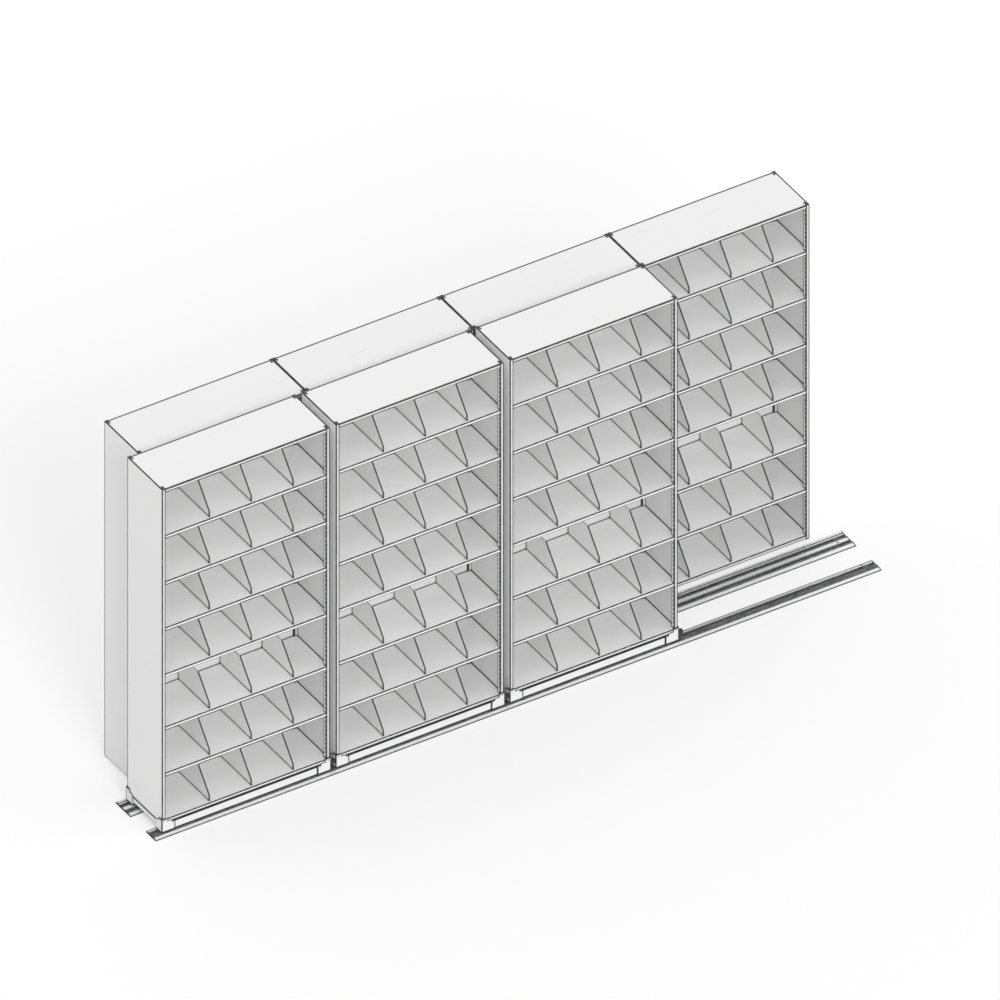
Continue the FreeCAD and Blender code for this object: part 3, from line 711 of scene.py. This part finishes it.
def aluminium(name, outline):
    """Mill-finish aluminium drawn along X, darkened in its grooves, in its seams and along its
    outer edges: painted shade with soiling in the grooves, painted shade in the seams and dark
    lines along the edges.
    """
    finish = bpy.context.scene.shelving_finish
    material, tree, shader, tone = new_material(name, finish.aluminium, drift=0.06, specks=0.02)
    lines = effect(tree, drawn_lines, Fineness=700.0)["Lines"]
    worn = effect(tree, edge_wear, Width=5.0 * MM, Amount=0.95)["Mask"]
    shaded_seams = effect(tree, painted_seam_shade, Reach=8 * MM, Amount=1.0)["Mask"]
    groove_darkened = effect(tree, groove_shade_and_soil, Level=4.0 * MM)["Mask"]
    edges = effect(tree, bay_outline, **outline)["Mask"]
    # Painted shade in the seams and on the groove floors, with soiling there, joined with the dark
    # edge lines.
    soil_and_shade = maths(tree, "MAXIMUM", worn, shaded_seams, groove_darkened, edges)
    colour = blend(tree, soil_and_shade, tone["Color"], (*finish.grime, 1))
    bare = spread(tree, lines, 0.42, 0.50)
    rough = maths(tree, "ADD", bare, maths(tree, "MULTIPLY", soil_and_shade, SOIL_AND_SHADE_DULLNESS))
    covered = maths(tree, "MULTIPLY", soil_and_shade, TRACK_METAL)
    metal = maths(tree, "SUBTRACT", TRACK_METAL, covered, clamp=True)
    feed(tree, shader, Base_Color=colour, Roughness=rough, Metallic=metal)
    feed(tree, shader, Normal=bumped(tree, lines, 0.004 * MM))
    return material


def zinc(name, colour=None):
    """Zinc plate, or phosphate of another colour, with a faint cloudy spangle."""
    colour = colour or bpy.context.scene.shelving_finish.zinc
    material, tree, shader, tone = new_material(name, colour, drift=0.1, specks=0.05)
    spangle = noise(tree, 260.0, 3.0)
    rough = spread(tree, spangle, 0.26, 0.48)
    feed(tree, shader, Base_Color=tone["Color"], Roughness=rough, Metallic=1.0)
    feed(tree, shader, Normal=bumped(tree, spangle, 0.02 * MM))
    return material


def turned_steel(name):
    """Steel turned on a lathe about Y: rings round the middle of the piece."""
    steel = bpy.context.scene.shelving_finish.steel
    material, tree, shader, tone = new_material(name, steel, drift=0.1, specks=0.04)
    place = add(tree, "ShaderNodeTexCoord").outputs["Generated"]
    centred = vector_maths(tree, "SUBTRACT", {0: place, 1: (0.5, 0.0, 0.5)})
    flat = vector_maths(tree, "MULTIPLY", {0: centred, 1: (1.0, 0.0, 1.0)})
    radius = vector_maths(tree, "LENGTH", {0: flat}, "Value")
    inputs = {"W": radius, "Scale": 90.0, "Detail": 2.0}
    rings = add(tree, "ShaderNodeTexNoise", inputs, noise_dimensions="1D").outputs["Fac"]
    rough = spread(tree, rings, 0.2, 0.42)
    feed(tree, shader, Base_Color=tone["Color"], Roughness=rough, Metallic=1.0)
    feed(tree, shader, Normal=bumped(tree, rings, 0.04 * MM))
    return material


def moulded(name, colour, roughness, shade_amount):
    """Moulded rubber or plastic with a fine matt grain."""
    dust = (*bpy.context.scene.shelving_finish.dust, 1)
    material, tree, shader, tone = new_material(name, colour, drift=0.15, specks=0.25)
    # Painted shade: near-black laid into seams, from ambient occlusion.
    shaded_seams = effect(tree, painted_seam_shade, Reach=6 * MM, Amount=shade_amount)["Mask"]
    grain = noise(tree, 1800.0, 2.0)
    feed(tree, shader, Base_Color=blend(tree, shaded_seams, tone["Color"], dust))
    rough = spread(tree, grain, roughness - GRAIN_SPREAD, roughness + GRAIN_SPREAD)
    feed(tree, shader, Roughness=rough)
    feed(tree, shader, Normal=bumped(tree, grain, 0.05 * MM, 0.5))
    return material


# ---------------------------------------------------------------- meshes


def crisp(item):
    """Smooth shading that keeps a piece's flat faces flat."""
    shade = item.modifiers.new("even_shading", "WEIGHTED_NORMAL")
    shade.keep_sharp = True


def soften(item, name, width, degrees):
    """Round the edges where faces turn by more than this."""
    bevel = item.modifiers.new(name, "BEVEL")
    bevel.width = width
    bevel.segments = 2
    bevel.limit_method = "ANGLE"
    bevel.angle_limit = math.radians(degrees)
    crisp(item)


def round_edges(item, width):
    """Close the seams between a solid's faces and round its edges."""
    weld = item.modifiers.new("close_seams", "WELD")
    weld.merge_threshold = 0.002 * MM
    soften(item, "round_edges", width, degrees=35)


def dress(names, material, edge=0.0):
    """Give frame nodes a finish and, where edge isn't 0, rounded edges."""
    for name in names:
        item = NODES[name]
        item.data.materials.clear()
        item.data.materials.append(material)
        if edge:
            round_edges(item, edge)


def new_piece(name, mesh, body, material):
    """Make a piece of a finished mesh, and let it ride on a body of the frame."""
    data = bpy.data.meshes.new(name)
    bmesh.ops.recalc_face_normals(mesh, faces=mesh.faces)
    mesh.to_mesh(data)
    mesh.free()
    data.shade_smooth()
    data.materials.append(material)
    piece = bpy.data.objects.new(name, data)
    bpy.context.scene.collection.objects.link(piece)
    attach(piece, body)
    return piece


def notched(low, high, notch, low_cut, high_cut):
    """A rectangle's outline, anticlockwise, with a notch in each corner."""
    (x0, y0), (x1, y1) = low, high
    return [
        (x0 + notch, y0),
        (x1 - notch, y0),
        (x1 - notch, y0 + low_cut),
        (x1, y0 + low_cut),
        (x1, y1 - high_cut),
        (x1 - notch, y1 - high_cut),
        (x1 - notch, y1),
        (x0 + notch, y1),
        (x0 + notch, y1 - high_cut),
        (x0, y1 - high_cut),
        (x0, y0 + low_cut),
        (x0 + notch, y0 + low_cut),
    ]


# The point at which each side of a notched outline starts.
NOTCHED_SIDES = {"front": 0, "right": 3, "rear": 6, "left": 9}


def sheet_mesh():
    """An empty mesh whose faces can be marked as bends."""
    mesh = bmesh.new()
    mesh.faces.layers.float.new(BEND_MARK)
    return mesh


def round_folds(mesh, folds, radius):
    """Round the fold lines and mark the bends, where the coat is thin."""
    round_arc = {"segments": BEND_SEGMENTS, "profile": 0.5, "affect": "EDGES"}
    bends = bmesh.ops.bevel(mesh, geom=folds, offset=radius, **round_arc)
    mark = mesh.faces.layers.float[BEND_MARK]
    for face in bends["faces"]:
        face[mark] = 1.0


def fold_sheet(mesh, corners, flanges, place):
    """Add a plate with folded edges. Flanges gives each side's folds: down, then inward."""
    plate = [mesh.verts.new(place @ Vector((x, y, 0.0))) for x, y in corners]
    mesh.faces.new(plate)
    folds = []
    for side, widths in flanges.items():
        start = NOTCHED_SIDES[side]
        run = (Vector(corners[start + 1]) - Vector(corners[start])).normalized()
        ways = (Vector((0.0, 0.0, -1.0)), Vector((-run.y, run.x, 0.0)))
        offset = Vector()
        upper = plate[start : start + 2]
        for width, way in zip(widths, ways):
            offset = offset + way * width
            ends = (Vector((*corners[end], 0.0)) + offset for end in (start, start + 1))
            lower = [mesh.verts.new(place @ end) for end in ends]
            mesh.faces.new((upper[0], lower[0], lower[1], upper[1]))
            folds.append(mesh.edges.get(upper))
            upper = lower
    return folds


def shelf_deck(base, level):
    """Height of a shelf's top, in a bay whose lowest shelf starts at base."""
    raised = TALL_EXTRA if level >= TALL_LEVEL else 0.0
    return base + SHELF_LIP + level * SHELF_PITCH + raised


def finish_sheets(piece):
    """Give folded sheets their thickness and soften their cut edges."""
    gauge = piece.modifiers.new("gauge", "SOLIDIFY")
    gauge.thickness = SHEET
    gauge.offset = -1.0
    soften(piece, "cut_edges", CUT_ROUNDING, degrees=50)


def skin(mesh, rings):
    """Join rings of points into a closed solid."""
    loops = [[mesh.verts.new(point) for point in ring] for ring in rings]
    for lower, upper in zip(loops, loops[1:]):
        for index in range(len(lower)):
            after = (index + 1) % len(lower)
            mesh.faces.new((lower[index], lower[after], upper[after], upper[index]))
    mesh.faces.new(loops[0][::-1])
    mesh.faces.new(loops[-1])


def rounded_ring(centre, width, depth, radius, steps=4):
    """Points round a level rectangle with round corners."""
    points = []
    for corner, (sx, sy) in enumerate(((1, 1), (-1, 1), (-1, -1), (1, -1))):
        middle = centre + Vector((sx * (width / 2 - radius), sy * (depth / 2 - radius), 0.0))
        for step in range(steps + 1):
            turn = (corner + step / steps) * math.pi / 2
            points.append(middle + Vector((math.cos(turn), math.sin(turn), 0.0)) * radius)
    return points


def turned(place, profile, steps):
    """Rings of a turned piece, from pairs of radius and height along its axis."""
    turns = [2 * math.pi * step / steps for step in range(steps)]
    ways = [(math.cos(turn), math.sin(turn)) for turn in turns]
    return [
        [place @ Vector((radius * x, radius * y, height)) for x, y in ways]
        for radius, height in profile
    ]


def edging_stations():
    """Points along a divider's front edge, in Y and Z, and the way into the divider at each."""
    rearward = Vector((1.0, 0.0))
    nose = Vector((0.0, DIVIDER_NOSE))
    slant = Vector((DIVIDER_SLANT, DIVIDER_HEIGHT - DIVIDER_NOSE))
    uphill = slant.normalized()
    inward = Vector((slant.y, -slant.x)).normalized()
    return (
        (Vector((0.0, EDGING_GAP)), rearward),
        (Vector((0.0, DIVIDER_NOSE - EDGING_TURN)), rearward),
        (nose, (rearward + inward) / (1.0 + inward.x)),
        (nose + EDGING_TURN * uphill, inward),
        (nose + slant - EDGING_GAP * uphill, inward),
    )


def edging_ring(section, at, way, corner):
    """The strip's section at one station, over the divider's lower front corner."""
    x, y, z = corner
    return [
        Vector((x + point.y, y + at.x + point.x * way.x, z + at.y + point.x * way.y))
        for point in section
    ]


def cap_profile(depth):
    """A cap from its foot to its dished top: insets from the bore and rises over the post."""
    return (
        (1.6 * MM, -depth),
        (0.5 * MM, 1.5 * MM - depth),
        (0.1 * MM, -2.5 * MM),
        (0.1 * MM, -0.8 * MM),
        (0.4 * MM, -0.35 * MM),
        (1.4 * MM, -0.1 * MM),
        (3.6 * MM, 0.0),
        (4.2 * MM, -0.5 * MM),
    )


def cap_ring(x, y, z, inset):
    """Points round a post's bore, this far inside it."""
    width, depth = POST_BORE[0] - 2 * inset, POST_BORE[1] - 2 * inset
    return rounded_ring(Vector((x, y, z)), width, depth, CAP_CORNER)


# ---------------------------------------------------------------- stage


def shown(tree):
    """1 for rays that carry a picture: from the camera, from a gloss or through glass."""
    path = add(tree, "ShaderNodeLightPath").outputs
    kinds = (path[f"Is {kind} Ray"] for kind in ("Camera", "Glossy", "Transmission"))
    return maths(tree, "MAXIMUM", *kinds)


def make_floor(light):
    """A plain floor that shows white under this much light and keeps the object's shadow."""
    mesh = bpy.data.meshes.new("floor")
    corners = ((-1, -1), (1, -1), (1, 1), (-1, 1))
    points = [(x * FLOOR_REACH, y * FLOOR_REACH, 0.0) for x, y in corners]
    mesh.from_pydata(points, [], [range(4)])
    floor = bpy.data.objects.new("floor", mesh)
    bpy.context.scene.collection.objects.link(floor)
    floor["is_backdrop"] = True
    material = bpy.data.materials.new("floor_paper")
    material.use_nodes = True
    tree = material.node_tree
    tree.nodes.clear()
    plain = add(tree, "ShaderNodeBsdfDiffuse", {"Color": (FLOOR_BOUNCE,) * 3 + (1,)}).outputs[0]
    soft = add(tree, "ShaderNodeBsdfDiffuse", {"Color": (FLOOR_SHADOWED,) * 3 + (1,)}).outputs[0]
    lift = FLOOR_WHITE * SHOWN_WHITE - FLOOR_SHADOWED * light
    glow = add(tree, "ShaderNodeEmission", {"Color": (1, 1, 1, 1), "Strength": lift}).outputs[0]
    paper = add(tree, "ShaderNodeAddShader", {0: soft, 1: glow}).outputs[0]
    mixed = add(tree, "ShaderNodeMixShader", {0: shown(tree), 1: plain, 2: paper}).outputs[0]
    add(tree, "ShaderNodeOutputMaterial", {"Surface": mixed})
    mesh.materials.append(material)


def make_world(strength):
    """Even light from all round, behind a background that shows white."""
    world = bpy.data.worlds.new("studio")
    bpy.context.scene.world = world
    world.use_nodes = True
    tree = world.node_tree
    tree.nodes.clear()
    inputs = {0: shown(tree), 2: strength, 3: SHOWN_WHITE}
    light = add(tree, "ShaderNodeMix", inputs, data_type="FLOAT").outputs[0]
    sky = add(tree, "ShaderNodeBackground", {"Color": (1, 1, 1, 1), "Strength": light}).outputs[0]
    add(tree, "ShaderNodeOutputWorld", {"Surface": sky})


def make_lamp(name, strength, source, softness):
    """A broad distant lamp; source is the way to it, softness its width in degrees."""
    data = bpy.data.lights.new(name, "SUN")
    data.energy = strength
    data.angle = math.radians(softness)
    lamp = bpy.data.objects.new(name, data)
    lamp.rotation_euler = Vector(source).to_track_quat("Z", "Y").to_euler()
    bpy.context.scene.collection.objects.link(lamp)


def make_camera(stage):
    """A parallel view from the front left, above."""
    data = bpy.data.cameras.new("view")
    data.type = "ORTHO"
    data.ortho_scale = stage.view_width
    data.clip_end = VIEW_DEPTH
    camera = bpy.data.objects.new("view", data)
    level = math.cos(stage.elevation)
    x, y = math.sin(stage.azimuth) * level, -math.cos(stage.azimuth) * level
    back = Vector((x, y, math.sin(stage.elevation)))
    camera.location = Vector(stage.aim) + back * CAMERA_DISTANCE
    camera.rotation_euler = back.to_track_quat("Z", "Y").to_euler()
    bpy.context.scene.collection.objects.link(camera)
    bpy.context.scene.camera = camera


# ---------------------------------------------------------------- operators


class SHELVING_OT_side_frames(bpy.types.Operator):
    """Side sheets and corner posts of every bay"""

    bl_idname = "shelving.side_frames"
    bl_label = "Side frames"

    def execute(self, context):
        edge = context.scene.shelving_fittings.sheet_edge
        for row, units in ROWS.items():
            bay = bay_sizes(units, "side_frames")
            finish = coat(f"{row}_side_coat", wear_width=1.0 * MM, bay=bay, posts=True)
            dress([f"{unit}_side_frames" for unit in units], finish, edge)
        return {"FINISHED"}


class SHELVING_OT_back_panels(bpy.types.Operator):
    """Back sheets with a flange folded to the rear all round"""

    bl_idname = "shelving.back_panels"
    bl_label = "Back panels"

    def execute(self, context):
        bend = context.scene.shelving_fittings.bend
        relief = bend + BEND_RELIEF
        finishes = sheet_coats("back_panel")
        for unit in UNITS:
            low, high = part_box(f"{unit}_back_panel")
            upright = Matrix(((1, 0, 0, 0), (0, 0, -1, low.y), (0, 1, 0, 0), (0, 0, 0, 1)))
            corners = notched((low.x, low.z), (high.x, high.z - COVER_LAP), relief, relief, relief)
            flange = (high.y - low.y - COVER_LAP,)
            mesh = sheet_mesh()
            folds = fold_sheet(mesh, corners, dict.fromkeys(NOTCHED_SIDES, flange), upright)
            round_folds(mesh, folds, bend)
            name = f"{unit}_folded_back"
            finish = finishes[ROW_OF[unit]]
            panel = new_piece(name, mesh, BODIES[unit], finish)
            finish_sheets(panel)
            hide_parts(f"{unit}_back_panel")
        return {"FINISHED"}


class SHELVING_OT_back_rivets(bpy.types.Operator):
    """Rivets that hold each back sheet to the rear posts and to the shelves"""

    bl_idname = "shelving.back_rivets"
    bl_label = "Back rivets"

    def execute(self, context):
        fittings = context.scene.shelving_fittings
        radius = fittings.rivet_radius
        profile = [(radius, -RIVET_SEAT)]
        profile += [(share * radius, rise * radius) for share, rise in RIVET_DOME]
        rearward = Matrix.Rotation(-math.pi / 2, 4, "X")
        finish = zinc("rivet_zinc")
        for unit in UNITS:
            low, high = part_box(f"{unit}_back_panel")
            mesh = bmesh.new()
            pitch = (high.z - low.z) / fittings.rivets_per_side
            for x, side in ((low.x + SHEET, 1), (high.x - SHEET, -1)):
                turn = Matrix.Rotation(side * math.pi / 2, 4, "Y")
                for index in range(fittings.rivets_per_side):
                    centre = Vector((x, (low.y + high.y) / 2, low.z + (index + 0.5) * pitch))
                    place = Matrix.Translation(centre) @ turn
                    skin(mesh, turned(place, profile, RIVET_STEPS))
            spacing = (high.x - low.x) / fittings.rivets_per_shelf
            for level in range(SHELF_COUNT - 1):
                height = shelf_deck(low.z, level) - SHELF_LIP / 2
                for index in range(fittings.rivets_per_shelf):
                    centre = Vector((low.x + (index + 0.5) * spacing, low.y + SHEET, height))
                    place = Matrix.Translation(centre) @ rearward
                    skin(mesh, turned(place, profile, RIVET_STEPS))
            rivets = new_piece(f"{unit}_back_rivets", mesh, BODIES[unit], finish)
            crisp(rivets)
        return {"FINISHED"}


class SHELVING_OT_shelves(bpy.types.Operator):
    """Shelves folded down on four sides and hemmed in front, and the cover over the back sheet"""

    bl_idname = "shelving.shelves"
    bl_label = "Shelves"

    def execute(self, context):
        bend = context.scene.shelving_fittings.bend
        finishes = sheet_coats("shelves")
        flanges = dict.fromkeys(NOTCHED_SIDES, (SHELF_LIP,)) | {"front": (SHELF_LIP, SHELF_HEM)}
        front_cut = POST_DEPTH + FIT
        for unit in UNITS:
            low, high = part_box(f"{unit}_shelves")
            bay_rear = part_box(f"{unit}_side_frames")[1].y
            mesh = sheet_mesh()
            folds = []
            for level in range(SHELF_COUNT):
                is_cover = level == SHELF_COUNT - 1
                rear = bay_rear if is_cover else high.y
                rear_cut = rear - bay_rear + front_cut
                corners = notched(low.xy, (high.x, rear), POST_WIDTH, front_cut, rear_cut)
                place = Matrix.Translation((0.0, 0.0, shelf_deck(low.z, level)))
                folds += fold_sheet(mesh, corners, flanges, place)
            round_folds(mesh, folds, bend)
            name = f"{unit}_folded_shelves"
            finish = finishes[ROW_OF[unit]]
            shelves = new_piece(name, mesh, BODIES[unit], finish)
            finish_sheets(shelves)
            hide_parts(f"{unit}_shelves")
        return {"FINISHED"}


class SHELVING_OT_post_caps(bpy.types.Operator):
    """Dark plastic plugs in the open tops of the corner posts"""

    bl_idname = "shelving.post_caps"
    bl_label = "Post caps"

    def execute(self, context):
        profile = cap_profile(context.scene.shelving_fittings.cap_depth)
        in_x = SHEET + POST_WIDTH / 2
        in_y = POST_DEPTH / 2
        plastic = context.scene.shelving_finish.plastic
        black = moulded("cap_plastic", plastic, roughness=0.42, shade_amount=0.35)
        for unit in UNITS:
            low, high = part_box(f"{unit}_side_frames")
            mesh = bmesh.new()
            for x in (low.x + in_x, high.x - in_x):
                for y in (low.y + in_y, high.y - in_y):
                    skin(mesh, [cap_ring(x, y, high.z + rise, inset) for inset, rise in profile])
            caps = new_piece(f"{unit}_post_caps", mesh, BODIES[unit], black)
            crisp(caps)
        return {"FINISHED"}


class SHELVING_OT_dividers(bpy.types.Operator):
    """File dividers of every bay"""

    bl_idname = "shelving.dividers"
    bl_label = "File dividers"

    def execute(self, context):
        names = [f"{unit}_dividers" for unit in UNITS]
        finish = coat("divider_coat", wear_width=3.0 * MM, roughness_shift=-0.05)
        dress(names, finish, context.scene.shelving_fittings.sheet_edge)
        return {"FINISHED"}


class SHELVING_OT_divider_edging(bpy.types.Operator):
    """Soft dark strips pressed over the dividers' front edges"""

    bl_idname = "shelving.divider_edging"
    bl_label = "Divider edging"

    def execute(self, context):
        fittings = context.scene.shelving_fittings
        thick, reach = fittings.edging, fittings.edging_reach
        middle = Vector((reach / 2 - EDGING_LAP, 0.0, 0.0))
        section = rounded_ring(middle, reach, thick, EDGING_CORNER, steps=2)
        stations = edging_stations()
        plastic = context.scene.shelving_finish.plastic
        vinyl = moulded("edging_vinyl", plastic, roughness=0.55, shade_amount=0.2)
        for unit in UNITS:
            low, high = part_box(f"{unit}_dividers")
            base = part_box(f"{unit}_shelves")[0].z
            run = high.x - low.x - DIVIDER_RIM
            mesh = bmesh.new()
            for level in range(SHELF_COUNT - 1):
                deck = shelf_deck(base, level)
                for index in range(DIVIDER_COUNT):
                    x = low.x + DIVIDER_RIM / 2 + index * run / (DIVIDER_COUNT - 1)
                    corner = (x, low.y, deck)
                    skin(mesh, [edging_ring(section, at, way, corner) for at, way in stations])
            name = f"{unit}_divider_edging"
            strips = new_piece(name, mesh, BODIES[unit], vinyl)
            crisp(strips)
        return {"FINISHED"}


class SHELVING_OT_shelf_clips(bpy.types.Operator):
    """Clips and feet that carry the shelves"""

    bl_idname = "shelving.shelf_clips"
    bl_label = "Shelf clips"

    def execute(self, context):
        names = ["rear_row_shelf_clips"] + [f"{unit}_shelf_clips" for unit in FRONT_UNITS]
        dress(names, zinc("clip_zinc"), context.scene.shelving_fittings.metal_edge)
        return {"FINISHED"}


class SHELVING_OT_tracks(bpy.types.Operator):
    """The two floor tracks"""

    bl_idname = "shelving.tracks"
    bl_label = "Floor tracks"

    def execute(self, context):
        low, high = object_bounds()
        pitch = 2 * (high.x - low.x)
        for track in ("rear_track", "front_track"):
            finish = aluminium(f"{track}_metal", outline_sizes(track, track, pitch))
            dress([track], finish, context.scene.shelving_fittings.metal_edge)
        return {"FINISHED"}


class SHELVING_OT_stops_and_bars(bpy.types.Operator):
    """End stops in the grooves and spacer bars on the floor"""

    bl_idname = "shelving.stops_and_bars"
    bl_label = "Stops and spacer bars"

    def execute(self, context):
        edge = context.scene.shelving_fittings.metal_edge
        phosphate = context.scene.shelving_finish.phosphate
        dress(["track_end_stops"], zinc("stop_phosphate", phosphate), edge)
        dress(["track_spacer_bars"], zinc("bar_zinc"), edge)
        return {"FINISHED"}


class SHELVING_OT_carriage_frames(bpy.types.Operator):
    """Rails and corner brackets of the carriages"""

    bl_idname = "shelving.carriage_frames"
    bl_label = "Carriage frames"

    def execute(self, context):
        edge = context.scene.shelving_fittings.plate_edge
        for part, length in (("rails", 0.0), ("corner_brackets", BRACKET_LENGTH)):
            bay = bay_sizes(CARRIAGES, part, part) | {"Post_width": length}
            finish = coat(f"carriage_{part}_coat", wear_width=4.5 * MM, wear=1.0, bay=bay)
            dress([f"{carriage}_{part}" for carriage in CARRIAGES], finish, edge)
        return {"FINISHED"}


class SHELVING_OT_axles(bpy.types.Operator):
    """Axle bolts, bushes, nuts and lip bolts"""

    bl_idname = "shelving.axles"
    bl_label = "Axles and bolts"

    def execute(self, context):
        dress([f"{carriage}_axles_and_bolts" for carriage in CARRIAGES], zinc("bolt_zinc"))
        return {"FINISHED"}


class SHELVING_OT_bumpers(bpy.types.Operator):
    """Round rubber bumpers"""

    bl_idname = "shelving.bumpers"
    bl_label = "Bumpers"

    def execute(self, context):
        rubber = context.scene.shelving_finish.rubber
        finish = moulded("bumper_rubber_finish", rubber, roughness=0.78, shade_amount=0.3)
        dress([f"{carriage}_bumpers" for carriage in CARRIAGES], finish)
        return {"FINISHED"}


class SHELVING_OT_wheels(bpy.types.Operator):
    """Steel wheels that run in the tracks' grooves"""

    bl_idname = "shelving.wheels"
    bl_label = "Wheels"

    def execute(self, context):
        places = ("front_left", "front_right", "rear_left", "rear_right")
        names = [f"{carriage}_wheel_{place}" for carriage in CARRIAGES for place in places]
        dress(names, turned_steel("wheel_metal"))
        return {"FINISHED"}


class SHELVING_OT_stage(bpy.types.Operator):
    """Pale floor, soft light and the camera"""

    bl_idname = "shelving.stage"
    bl_label = "Stage"

    def execute(self, context):
        scene = context.scene
        stage = scene.shelving_stage
        scene.view_settings.view_transform = "Standard"
        lamps = (
            ("key_lamp", stage.key, KEY_FROM, KEY_SOFTNESS),
            ("fill_lamp", stage.fill, FILL_FROM, FILL_SOFTNESS),
        )
        for lamp in lamps:
            make_lamp(*lamp)
        overhead = sum(strength * Vector(source).normalized().z for _, strength, source, _ in lamps)
        make_floor(stage.sky + overhead / math.pi)
        make_world(stage.sky)
        make_camera(stage)
        return {"FINISHED"}


OPERATORS = (
    SHELVING_OT_side_frames,
    SHELVING_OT_back_panels,
    SHELVING_OT_back_rivets,
    SHELVING_OT_shelves,
    SHELVING_OT_post_caps,
    SHELVING_OT_dividers,
    SHELVING_OT_divider_edging,
    SHELVING_OT_shelf_clips,
    SHELVING_OT_tracks,
    SHELVING_OT_stops_and_bars,
    SHELVING_OT_carriage_frames,
    SHELVING_OT_axles,
    SHELVING_OT_bumpers,
    SHELVING_OT_wheels,
    SHELVING_OT_stage,
)


class SHELVING_PT_panel(bpy.types.Panel):
    """Lists the finishes and fittings in the sidebar"""

    bl_idname = "SHELVING_PT_panel"
    bl_label = "Sliding shelving"
    bl_space_type = "VIEW_3D"
    bl_region_type = "UI"
    bl_category = "Shelving"

    def draw(self, context):
        for operator in OPERATORS:
            self.layout.operator(operator.bl_idname)


SETTINGS = {
    "shelving_finish": FinishSettings,
    "shelving_fittings": FittingSettings,
    "shelving_stage": StageSettings,
}
CLASSES = (*SETTINGS.values(), *OPERATORS, SHELVING_PT_panel)


def register():
    """Add the settings, operators and panel to Blender."""
    for item in CLASSES:
        bpy.utils.register_class(item)
    for name, group in SETTINGS.items():
        setattr(bpy.types.Scene, name, bpy.props.PointerProperty(type=group))


def unregister():
    """Take them out again, last one first."""
    for name in SETTINGS:
        delattr(bpy.types.Scene, name)
    for item in reversed(CLASSES):
        bpy.utils.unregister_class(item)


def main():
    """Dress the frame piece by piece."""
    register()
    for operator in OPERATORS:
        family, name = operator.bl_idname.split(".")
        getattr(getattr(bpy.ops, family), name)()


if __name__ == "__main__":
    main()
